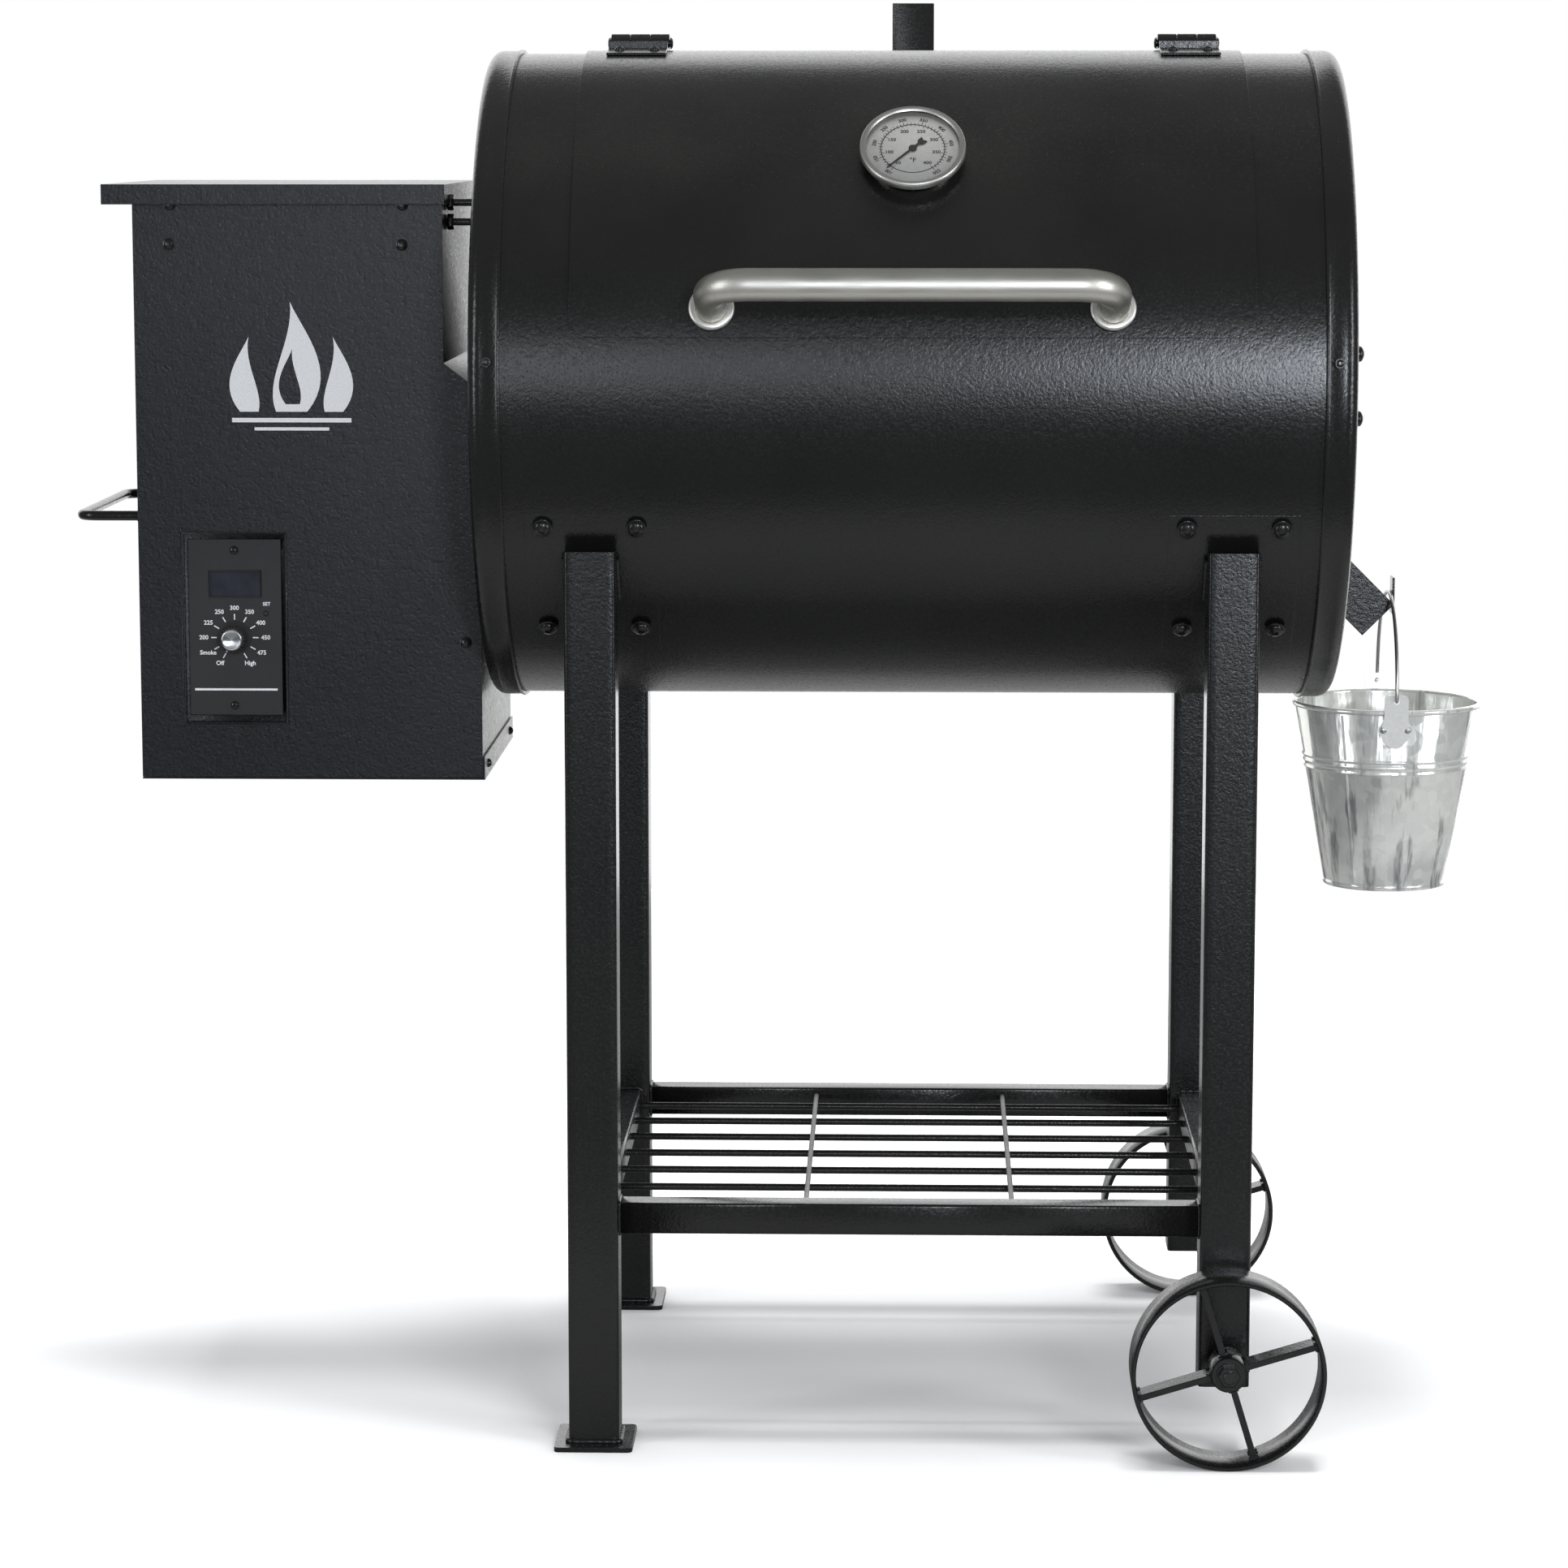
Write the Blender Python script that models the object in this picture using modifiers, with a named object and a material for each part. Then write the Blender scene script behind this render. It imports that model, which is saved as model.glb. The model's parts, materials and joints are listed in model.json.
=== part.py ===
"""Pellet smoker grill: a horizontal steel barrel on four legs, with a pellet hopper on its left.

Metres, +Z up. The barrel's axis runs along X, the door opens at the front (-Y), the floor is z = 0.
Every dimension is taken from the barrel's middle; the last step moves the whole assembly along X so
that the origin is under the middle of its outline.
"""

import bmesh
import bpy
from math import cos, pi, radians, sin, sqrt
from mathutils import Matrix, Vector

for old in list(bpy.data.objects):
    bpy.data.objects.remove(old, do_unlink=True)

# ---- driving dimensions -------------------------------------------------------------------------
GAP = 0.0003                 # clearance between pieces that touch
SHEET = 0.002                # barrel sheet
THIN = 0.0015                # hopper and tube sheet

BARREL_Z = 0.837             # height of the barrel's axis
SHELL_R = 0.260              # outside of the shell
SHELL_HALF = 0.330           # half length of the shell
CAP_FACE = 0.341             # outer face of an end cap, from the middle
CAP_RIM = 0.316              # edge of the end cap's rim
CAP_CORNER = 0.010           # pressed corner of the end cap
CAP_R = SHELL_R + GAP + SHEET

DOOR_HALF = 0.263            # half width of the door
DOOR_LOW = 9.2               # degrees above the front horizontal
DOOR_HIGH = 87.5
DOOR_R = SHELL_R + 2 * GAP   # inside of the door sheet
DOOR_CORNER = 0.016
MOUTH_HALF = 0.248           # half width of the opening under the door
MOUTH_LOW = 13.0
MOUTH_HIGH = 83.0

HINGE_X = 0.222              # the door's two hinges
HINGE_Y = 0.012
HINGE_Z = 1.1055
KNUCKLE_R = 0.0075
KNUCKLE = 0.016              # length of one knuckle

HANDLE_X = 0.1533            # handle legs
HANDLE_FOOT = 14.0           # degrees round the barrel
HANDLE_RISE = 18.0           # degrees the legs point upwards
HANDLE_REACH = 0.0675        # from the door to the bar's middle
HANDLE_R = 0.0125
HANDLE_BEND = 0.030
FLANGE_R = 0.0175

GAUGE_ANGLE = 42.5
GAUGE_R = 0.041

LEG = 0.040                  # square leg tube
LEG_X = 0.249
LEG_Y = 0.225
LEG_TOP = 0.713
LEG_END = 0.053              # lower end of the wheeled legs
FOOT = (0.062, 0.070, 0.004)
BRACKET_HALF = 0.051
BRACKET_HIGH = -21.4
BRACKET_LOW = -54.0

RAIL = 0.025                 # shelf rail
RAIL_TOP = 0.197
ROD_R = 0.003
ROD_Z = 0.185
ROD_PITCH = 0.0633
CROSS_X = 0.082
CROSS_R = 0.002

WHEEL_R = 0.076
WHEEL_X = 0.2495
WHEEL_WIDTH = 0.046
WHEEL_Y = 0.277              # middle of a wheel, from the barrel's axis
AXLE_R = 0.005
SPOKE_TURN = 17.0            # degrees from the axes

SPOUT = 0.036                # square drain spout
SPOUT_END = (0.3825, 0.638)  # middle of its lower end, X and Z
SPOUT_LENGTH = 0.090

BAIL_X = 0.3925
BAIL_TOP = 0.6595
BAIL_R = 0.0015
EAR_Z = 0.578
BAIL_HALF = 0.081            # from the middle to an ear
BUCKET_RIM = 0.5705
BUCKET_FLOOR = 0.418
BUCKET_TOP_R = 0.076
BUCKET_FLOOR_R = 0.049

FLUE_WIDTH = 0.036
FLUE_DEPTH = 0.060
FLUE_BACK = 0.3309
FLUE_LOW = 0.885
FLUE_TOP = 1.144

HOPPER_LEFT = -0.6225
HOPPER_RIGHT = -0.3745       # upper part
HOPPER_SIDE = -0.346         # lower part, against the barrel
HOPPER_FRONT = -0.100
HOPPER_BACK = 0.165
HOPPER_TOP = 0.985
HOPPER_LOW = 0.5163
STEP_HIGH = 0.851
STEP_LOW = 0.829
LID = ((-0.646, -0.108, 0.977), (-0.372, 0.172, 0.993))
LID_AXIS = (0.172, 0.988)
PANEL = ((-0.583, 0.5665), (-0.508, 0.709))
TRAY = ((-0.588, 0.5592), (-0.503, 0.7155))
DIAL = (-0.5461, 0.6295)
BUTTON = (-0.5207, 0.649)
LIFT_X = -0.672
LIFT_Z = 0.727
LIFT_Y = (-0.085, 0.145)

AUGER_Z = 0.650
AUGER_R = 0.024
AUGER_ENDS = (-0.572, -0.0475)
POT_R = 0.045

GRATE_Z = 0.840
LEFT_EDGE = LIFT_X - 0.004   # outline of the whole grill along X
RIGHT_EDGE = BAIL_X + BUCKET_TOP_R + 0.002
SHIFT_X = -(LEFT_EDGE + RIGHT_EDGE) / 2

GRILL = bpy.data.collections.new("pellet_smoker_grill")
TOOLS = bpy.data.collections.new("cutters")
for group in (GRILL, TOOLS):
    bpy.context.scene.collection.children.link(group)


# ---- materials ----------------------------------------------------------------------------------
def finish(name, colour, roughness, metallic, alpha=1.0):
    material = bpy.data.materials.new(name)
    material.use_nodes = True
    shader = material.node_tree.nodes["Principled BSDF"]
    shader.inputs["Base Color"].default_value = (*colour, 1.0)
    shader.inputs["Roughness"].default_value = roughness
    shader.inputs["Metallic"].default_value = metallic
    shader.inputs["Alpha"].default_value = alpha
    return material


BLACK_COAT = finish("black_powder_coat", (0.012, 0.012, 0.014), 0.38, 0.0)
HOPPER_COAT = finish("hopper_powder_coat", (0.014, 0.015, 0.020), 0.45, 0.0)
STAINLESS = finish("brushed_stainless", (0.62, 0.60, 0.57), 0.28, 1.0)
GALVANISED = finish("galvanised_steel", (0.62, 0.64, 0.65), 0.30, 1.0)
ZINC = finish("zinc_plated", (0.55, 0.55, 0.54), 0.35, 1.0)
DIAL_WHITE = finish("dial_silver", (0.72, 0.72, 0.70), 0.5, 0.0)
BLACK_PLASTIC = finish("black_plastic", (0.015, 0.015, 0.016), 0.5, 0.0)
CLEAR = finish("clear_glass", (0.9, 0.95, 0.95), 0.03, 0.0, 0.3)
BARE_STEEL = finish("bare_steel", (0.25, 0.24, 0.23), 0.5, 1.0)
GRATE_COAT = finish("grate_enamel", (0.02, 0.02, 0.02), 0.3, 0.0)


# ---- modelling tools ----------------------------------------------------------------------------
def add(name, mesh, material):
    piece = bpy.data.objects.new(name, mesh)
    GRILL.objects.link(piece)
    piece.data.materials.append(material)
    return piece


def mesh_of(name, shape):
    mesh = bpy.data.meshes.new(name)
    shape.to_mesh(mesh)
    shape.free()
    return mesh


def box(name, low, high, material=BLACK_COAT):
    size = [b - a for a, b in zip(low, high)]
    shape = bmesh.new()
    bmesh.ops.create_cube(shape, size=1.0, matrix=Matrix.Diagonal((*size, 1.0)))
    piece = add(name, mesh_of(name, shape), material)
    piece.location = [(a + b) / 2 for a, b in zip(low, high)]
    return piece


def turn_to(axis):
    return Vector((0, 0, 1)).rotation_difference(Vector(axis)).to_matrix().to_4x4()


def bar(name, start, end, radius, material=BLACK_COAT, sides=16):
    run = Vector(end) - Vector(start)
    shape = bmesh.new()
    bmesh.ops.create_cone(
        shape, cap_ends=True, segments=sides, radius1=radius, radius2=radius, depth=run.length
    )
    piece = add(name, mesh_of(name, shape), material)
    piece.matrix_world = Matrix.Translation((Vector(start) + Vector(end)) / 2) @ turn_to(run)
    return piece


def turned(name, profile, centre, axis, material=BLACK_COAT, steps=48):
    """A turned piece: profile holds (radius, height along the axis), as a closed outline."""
    area = sum(a[0] * b[1] - b[0] * a[1] for a, b in zip(profile, profile[1:] + profile[:1]))
    if area > 0:
        profile = profile[::-1]
    on_axis = [i for i, (r, _) in enumerate(profile) if r == 0]
    count = len(profile)
    links = [(i, (i + 1) % count) for i in range(count)]
    if on_axis:
        links = [pair for pair in links if not (pair[0] in on_axis and pair[1] in on_axis)]
    mesh = bpy.data.meshes.new(name)
    mesh.from_pydata([(r, 0, h) for r, h in profile], links, [])
    piece = add(name, mesh, material)
    piece.matrix_world = Matrix.Translation(centre) @ turn_to(axis)
    lathe = piece.modifiers.new("turn", "SCREW")
    lathe.steps = steps
    lathe.render_steps = steps
    lathe.use_merge_vertices = True
    lathe.merge_threshold = 0.00005
    return piece


def meshed(piece, material):
    """The curve object made a mesh, with its caps welded."""
    bpy.context.view_layer.update()
    shape = bmesh.new()
    shape.from_mesh(bpy.data.meshes.new_from_object(
        piece.evaluated_get(bpy.context.evaluated_depsgraph_get())
    ))
    bmesh.ops.remove_doubles(shape, verts=shape.verts, dist=0.00002)
    name, place = piece.name, piece.matrix_world.copy()
    bpy.data.objects.remove(piece, do_unlink=True)
    solid = add(name, mesh_of(name, shape), material)
    solid.matrix_world = place
    return solid


def spline(curve, points, cyclic):
    line = curve.splines.new("POLY")
    line.points.add(len(points) - 1)
    for knot, point in zip(line.points, points):
        knot.co = (*point, 0.0, 1.0) if len(point) == 2 else (*point, 1.0)
    line.use_cyclic_u = cyclic


def wire(name, points, radius, material=BLACK_COAT, wall=0.0, resolution=2):
    curve = bpy.data.curves.new(name, "CURVE")
    curve.dimensions = "3D"
    curve.bevel_depth = radius
    curve.bevel_resolution = resolution
    curve.use_fill_caps = wall == 0.0
    spline(curve, points, False)
    piece = bpy.data.objects.new(name, curve)
    GRILL.objects.link(piece)
    piece = meshed(piece, material)
    if wall:
        skin(piece, wall, -1)
    return piece


PLANES = {
    "X": Matrix(((0, 0, 1, 0), (1, 0, 0, 0), (0, 1, 0, 0), (0, 0, 0, 1))),
    "Y": Matrix(((1, 0, 0, 0), (0, 0, -1, 0), (0, 1, 0, 0), (0, 0, 0, 1))),
    "Z": Matrix.Identity(4),
}


def plate(name, outlines, middle, thickness, plane, material=BLACK_COAT):
    """A flat plate across one axis ("X", "Y" or "Z") or a matrix: the first outline, less the rest."""
    curve = bpy.data.curves.new(name, "CURVE")
    curve.dimensions = "2D"
    curve.fill_mode = "BOTH"
    curve.extrude = thickness / 2
    for outline in outlines:
        spline(curve, outline, True)
    piece = bpy.data.objects.new(name, curve)
    GRILL.objects.link(piece)
    if plane in PLANES:
        side = {"X": (middle, 0, 0), "Y": (0, middle, 0), "Z": (0, 0, middle)}[plane]
        piece.matrix_world = Matrix.Translation(side) @ PLANES[plane]
    return meshed(piece, material)


def skin(piece, thickness, offset):
    shell = piece.modifiers.new("sheet", "SOLIDIFY")
    shell.thickness = thickness
    shell.offset = offset
    shell.use_even_offset = True
    return piece


def curved_sheet(name, radius, half, angles, thickness, material=BLACK_COAT, corner=0.0, rows=24):
    """A sheet round the barrel between two angles above the front horizontal, corners rounded below."""
    low, high = (radians(a) for a in angles)
    steps = [low + (high - low) * i / rows for i in range(rows + 1)]
    if corner:
        bend = [low + corner / radius * (1 - cos(pi / 2 * i / 5)) for i in range(5)]
        steps = bend + [a for a in steps if a > low + corner / radius]
    shape = bmesh.new()
    bmesh.ops.create_grid(shape, x_segments=2, y_segments=len(steps) - 1, size=1.0)
    for vert in shape.verts:
        row = round((vert.co.y + 1) / 2 * (len(steps) - 1))
        angle = steps[row]
        rise = min((angle - low) * radius, corner)
        inset = corner - sqrt(max(corner ** 2 - (corner - rise) ** 2, 0.0))
        vert.co = (vert.co.x * (half - inset), -radius * cos(angle), radius * sin(angle))
    piece = add(name, mesh_of(name, shape), material)
    piece.location = (0, 0, BARREL_Z)
    return skin(piece, thickness, 1)


def combine(piece, others, operation):
    for other in others:
        GRILL.objects.unlink(other)
        TOOLS.objects.link(other)
        other.hide_render = True
        other.display_type = "WIRE"
        step = piece.modifiers.new(operation.lower(), "BOOLEAN")
        step.operation = operation
        step.solver = "EXACT"
        step.object = other
    return piece


def cut(piece, *others):
    return combine(piece, others, "DIFFERENCE")


def join(piece, *others):
    return combine(piece, others, "UNION")


def box_tube(name, low, high, wall, along, material=BLACK_COAT):
    """A rectangular tube, open at both ends along axis 0, 1 or 2."""
    inner_low = [v - 0.01 if i == along else v + wall for i, v in enumerate(low)]
    inner_high = [v + 0.01 if i == along else v - wall for i, v in enumerate(high)]
    return cut(box(name, low, high, material), box(name + "_hollow", inner_low, inner_high))


def arc(centre, radius, start, end, count):
    """Points round an arc in a plane, angles in degrees."""
    return [
        (centre[0] + radius * cos(radians(start + (end - start) * i / count)),
         centre[1] + radius * sin(radians(start + (end - start) * i / count)))
        for i in range(count + 1)
    ]


def rectangle(low, high):
    return [(low[0], low[1]), (high[0], low[1]), (high[0], high[1]), (low[0], high[1])]


def smooth(piece):
    piece.data.shade_smooth()
    piece.data.set_sharp_from_angle(angle=radians(35))


# ---- barrel -------------------------------------------------------------------------------------
def drum(name, radius, half):
    return bar(name, (-half, 0, BARREL_Z), (half, 0, BARREL_Z), radius, sides=72)


def barrel_shell():
    profile = rectangle((SHELL_R - SHEET, -SHELL_HALF), (SHELL_R, SHELL_HALF))
    shell = turned("barrel_shell", profile, (0, 0, BARREL_Z), (1, 0, 0), BLACK_COAT, 48)
    mouth = curved_sheet("mouth", SHELL_R - 0.012, MOUTH_HALF, (MOUTH_LOW, MOUTH_HIGH), 0.024)
    port = box("flue_port", (-0.0145, 0.2, 0.905), (0.0145, 0.3, 0.955))
    return cut(shell, mouth, port)


def end_cap(name, side):
    bend = arc((CAP_R - CAP_CORNER, CAP_FACE - CAP_CORNER), CAP_CORNER, 0, 90, 3)
    inner = arc((CAP_R - CAP_CORNER, CAP_FACE - CAP_CORNER), CAP_CORNER - SHEET, 90, 0, 3)
    outline = [(CAP_R, CAP_RIM), *bend, (0, CAP_FACE), (0, CAP_FACE - SHEET), *inner,
               (CAP_R - SHEET, CAP_RIM)]
    return turned(name, outline, (0, 0, BARREL_Z), (side, 0, 0), BLACK_COAT, 48)


def spout_box(name, half, length):
    """A box on the spout's slope, ending at its lower end."""
    piece = box(name, (-length, -half, -half), (0, half, half))
    piece.matrix_world = (
        Matrix.Translation((SPOUT_END[0], 0, SPOUT_END[1]))
        @ Matrix.Rotation(radians(45), 4, "Y")
        @ Matrix.Translation((-length / 2, 0, 0))
    )
    return piece


def drain_spout():
    spout = spout_box("drain_spout", SPOUT / 2, SPOUT_LENGTH)
    hollow = spout_box("spout_hollow", SPOUT / 2 - SHEET, SPOUT_LENGTH + 0.02)
    hollow.matrix_world = Matrix.Translation((0.01 * cos(pi / 4), 0, -0.01 * sin(pi / 4))) @ hollow.matrix_world
    tab = box("hook_tab", (0.3945, -0.010, 0.642), (0.3965, 0.010, 0.672))
    return join(cut(spout, hollow), tab)


def flue():
    low_y = FLUE_BACK - FLUE_DEPTH
    half = FLUE_WIDTH / 2
    stack = box("flue", (-half, low_y, FLUE_LOW), (half, FLUE_BACK, FLUE_TOP))
    neck = box("flue_neck", (-half, 0.235, 0.900), (half, low_y + 0.005, 0.960))
    bore = box("flue_bore", (-half + SHEET, low_y + SHEET, FLUE_LOW + SHEET),
               (half - SHEET, FLUE_BACK - SHEET, FLUE_TOP + 0.01))
    throat = box("flue_throat", (-0.0145, 0.22, 0.905), (0.0145, low_y + 0.02, 0.955))
    return cut(join(stack, neck), bore, throat, drum("flue_cope", SHELL_R + GAP, 0.05))


# ---- door ---------------------------------------------------------------------------------------
def on_barrel(angle, radius):
    return Vector((0, -radius * cos(radians(angle)), BARREL_Z + radius * sin(radians(angle))))


GAUGE_FOOT = on_barrel(GAUGE_ANGLE, DOOR_R + SHEET)
GAUGE_OUT = Vector((0, -cos(radians(GAUGE_ANGLE)), sin(radians(GAUGE_ANGLE))))


def door():
    sheet = curved_sheet("door", DOOR_R, DOOR_HALF, (DOOR_LOW, DOOR_HIGH), SHEET, corner=DOOR_CORNER)
    hole = bar("gauge_hole", GAUGE_FOOT - GAUGE_OUT * 0.02, GAUGE_FOOT + GAUGE_OUT * 0.02, 0.0045)
    return cut(sheet, hole)


def door_handle():
    foot = on_barrel(HANDLE_FOOT, DOOR_R + SHEET)
    out = Vector((0, -cos(radians(HANDLE_RISE)), sin(radians(HANDLE_RISE))))
    bend = arc((HANDLE_X - HANDLE_BEND, HANDLE_REACH - HANDLE_BEND), HANDLE_BEND, 0, 90, 6)
    half = [(HANDLE_X, 0.0024), *bend]
    path = half + [(-x, h) for x, h in reversed(half)]
    points = [foot + out * h + Vector((x, 0, 0)) for x, h in path]
    return wire("door_handle", points, HANDLE_R, STAINLESS, wall=THIN, resolution=3)


def handle_flange(name, side):
    foot = on_barrel(HANDLE_FOOT, DOOR_R + SHEET) + Vector((side * HANDLE_X, 0, 0))
    out = Vector((0, -cos(radians(HANDLE_RISE)), sin(radians(HANDLE_RISE))))
    profile = rectangle((HANDLE_R + GAP, 0.0024), (FLANGE_R, 0.0060))
    return turned(name, profile, foot, out, STAINLESS, 32)


def knuckle(name, x, length, bore):
    profile = rectangle((bore, -length / 2), (KNUCKLE_R, length / 2))
    return turned(name, profile, (x, HINGE_Y, HINGE_Z), (1, 0, 0), BLACK_COAT, 14)


def hinge_leaf(name, x):
    """The leaf on the door, with the two outer knuckles."""
    leaf = curved_sheet(name, DOOR_R + SHEET + GAP, KNUCKLE * 1.5 - GAP, (78.5, 91.5), 0.0025, rows=6)
    leaf.location.x = x
    middle = KNUCKLE / 2 + GAP
    notch = box(name + "_notch", (x - middle, HINGE_Y - 0.012, 1.09), (x + middle, HINGE_Y + 0.02, 1.12))
    knuckles = [knuckle(name + "_knuckle", x + s * KNUCKLE, KNUCKLE - 2 * GAP, 0.0) for s in (-1, 1)]
    bores = bar(name + "_bore", (x - 0.04, HINGE_Y, HINGE_Z), (x + 0.04, HINGE_Y, HINGE_Z), 0.0034)
    return cut(join(leaf, *knuckles), notch, bores)


def hinge_base(name, x):
    """The fixed leaf on the shell, its middle knuckle and the pin riveted in it."""
    base = curved_sheet(name, SHELL_R + GAP, KNUCKLE * 1.5 - GAP, (93.6, 101), 0.0028, rows=4)
    base.location.x = x
    web = box(name + "_web", (x - KNUCKLE / 2 + 0.001, HINGE_Y, 1.0975), (x + KNUCKLE / 2 - 0.001, 0.022, 1.104))
    middle = knuckle(name + "_knuckle", x, KNUCKLE, 0.0)
    pin = bar(name + "_pin", (x - 0.0255, HINGE_Y, HINGE_Z), (x + 0.0255, HINGE_Y, HINGE_Z), 0.003, sides=16)
    trim = drum(name + "_trim", SHELL_R + GAP, 0.3)
    return join(cut(join(base, web, middle), trim), pin)


def gauge(name, profile, material, steps=32):
    return turned(name, profile, GAUGE_FOOT, GAUGE_OUT, material, steps)


def gauge_case():
    outline = [(GAUGE_R, 0.0145), (GAUGE_R, 0.0090), (0.0325, 0.0085), (0.0320, 0.0006),
               (0.0045, 0.0006), (0.0045, 0.0020), (0.0305, 0.0020), (0.0310, 0.0095),
               (0.0385, 0.0100), (0.0385, 0.0130), (0.0370, 0.0145)]
    return gauge("gauge_case", outline, STAINLESS)


def gauge_needle():
    across = Vector((1, 0, 0))
    up = GAUGE_OUT.cross(across)
    place = Matrix((
        (across.x, up.x, GAUGE_OUT.x, 0), (across.y, up.y, GAUGE_OUT.y, 0),
        (across.z, up.z, GAUGE_OUT.z, 0), (0, 0, 0, 1),
    ))
    outline = [(0.028, 0.0), *arc((0, 0), 0.003, 25, 160, 5), (-0.012, 0.0015),
               (-0.012, -0.0015), *arc((0, 0), 0.003, 200, 335, 5)]
    needle = plate("gauge_needle", [outline], 0, 0.0006, None, BLACK_PLASTIC)
    needle.matrix_world = (
        Matrix.Translation(GAUGE_FOOT + GAUGE_OUT * 0.0115) @ place @ Matrix.Rotation(radians(225), 4, "Z")
    )
    return needle


def gauge_stem():
    stem = bar("gauge_stem", GAUGE_FOOT + GAUGE_OUT * 0.0098, GAUGE_FOOT - GAUGE_OUT * 0.070, 0.003, ZINC, 16)
    nut = bar("gauge_nut", GAUGE_FOOT - GAUGE_OUT * 0.0026, GAUGE_FOOT - GAUGE_OUT * 0.0090, 0.0085, ZINC, 6)
    return join(stem, nut)


# ---- legs, wheels and shelf ---------------------------------------------------------------------
def leg(name, side, depth, low):
    """A square leg coped to the barrel, its bolting plate welded on; side and depth are -1 or 1."""
    x, y, half = side * LEG_X, depth * LEG_Y, LEG / 2
    tube = box_tube(name, (x - half, y - half, low), (x + half, y + half, LEG_TOP), SHEET, 2)
    cope = drum(name + "_cope", SHELL_R + GAP + 0.001, 0.4)
    pad = curved_sheet(name + "_plate", SHELL_R + GAP, BRACKET_HALF, (BRACKET_LOW, BRACKET_HIGH), 0.0025, rows=10)
    pad.location.x = x
    if depth > 0:
        pad.rotation_euler.z = pi
    join(cut(tube, cope), pad)
    if side < 0:
        sole = box(name + "_sole", (x - FOOT[0] / 2, y - FOOT[1] / 2, 0),
                   (x + FOOT[0] / 2, y + FOOT[1] / 2, FOOT[2]))
        return join(tube, sole)
    hole = bar(name + "_hole", (WHEEL_X, depth * 0.25, WHEEL_R), (WHEEL_X, depth * 0.235, WHEEL_R), AXLE_R + GAP,
               sides=24)
    return cut(tube, hole)


def wheel(name, depth):
    centre = Vector((WHEEL_X, depth * WHEEL_Y, WHEEL_R))
    half = WHEEL_WIDTH / 2
    rim = turned(name, rectangle((WHEEL_R - 0.0035, -half), (WHEEL_R, half)), centre, (0, 1, 0), BLACK_COAT, 40)
    spokes = []
    for i in range(4):
        spoke = box(name + "_spoke", (0.008, -0.011, -0.0025), (WHEEL_R - 0.002, 0.011, 0.0025))
        turn = Matrix.Rotation(radians(-SPOKE_TURN - 90 * i), 4, "Y")
        spoke.matrix_world = Matrix.Translation(centre) @ turn @ Matrix.Translation(spoke.location)
        spokes.append(spoke)
    hub = bar(name + "_hub", centre - Vector((0, 0.018, 0)), centre + Vector((0, 0.018, 0)), 0.014)
    bore = bar(name + "_bore", centre - Vector((0, 0.03, 0)), centre + Vector((0, 0.03, 0)), AXLE_R + 0.00008,
               sides=24)
    return cut(join(rim, *spokes, hub), bore)


def axle_bolt(name, depth):
    def at(y):
        return (WHEEL_X, depth * y, WHEEL_R)
    shank = bar(name, at(0.300), at(0.234), AXLE_R, ZINC, 24)
    head = bar(name + "_head", at(0.2953), at(0.3020), 0.009, ZINC, 6)
    collar = bar(name + "_collar", at(0.2455), at(0.2587), 0.009, ZINC)
    nut = bar(name + "_nut", at(0.2425), at(0.2360), 0.008, ZINC, 6)
    return join(shank, head, collar, nut)


def shelf_rail(name, low, high, along):
    return box_tube(name, low, high, THIN, along)


def shelf_grid():
    inner = LEG_X - RAIL / 2 - GAP
    deep = LEG_Y - RAIL / 2 - GAP
    rods = [
        bar("shelf_grid" if i == 0 else "shelf_rod", (-inner, (i - 3) * ROD_PITCH, ROD_Z),
            (inner, (i - 3) * ROD_PITCH, ROD_Z), ROD_R, sides=10)
        for i in range(7)
    ]
    height = ROD_Z + ROD_R + CROSS_R - 0.0006
    wires = [bar("cross_wire", (s * CROSS_X, -deep, height), (s * CROSS_X, deep, height), CROSS_R, sides=8)
             for s in (-1, 1)]
    return join(rods[0], wires[0], *rods[1:], wires[1])


# ---- bucket -------------------------------------------------------------------------------------
def bucket_radius(z):
    share = (z - BUCKET_FLOOR) / (BUCKET_RIM - BUCKET_FLOOR)
    return BUCKET_FLOOR_R + (BUCKET_TOP_R - BUCKET_FLOOR_R) * share


def bucket():
    wall = 0.0009
    outer = [(0, BUCKET_FLOOR), (BUCKET_FLOOR_R, BUCKET_FLOOR), (bucket_radius(0.5665), 0.5665),
             (BUCKET_TOP_R + 0.0020, 0.5675), (BUCKET_TOP_R + 0.0020, 0.5697), (BUCKET_TOP_R, BUCKET_RIM)]
    inner = [(BUCKET_TOP_R - 0.0016, BUCKET_RIM), (bucket_radius(0.4200) - wall, 0.4200), (0, 0.4200)]
    pail = turned("bucket", outer + inner, (BAIL_X, 0, 0), (0, 0, 1), GALVANISED, 36)
    ears = []
    for side in (-1, 1):
        outline = [(-0.011, 0.547), (0.011, 0.547), (0.011, 0.562), *arc((0, EAR_Z), 0.0065, 0, 180, 8),
                   (-0.011, 0.562)]
        outline = [(BAIL_X + x, z) for x, z in outline]
        hole = [(BAIL_X + x, EAR_Z + z) for x, z in arc((0, 0), 0.0025, 0, 330, 11)]
        ears.append(plate("bucket_ear", [outline, hole], side * 0.0768, 0.0040, "Y", GALVANISED))
    return join(pail, *ears)


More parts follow.
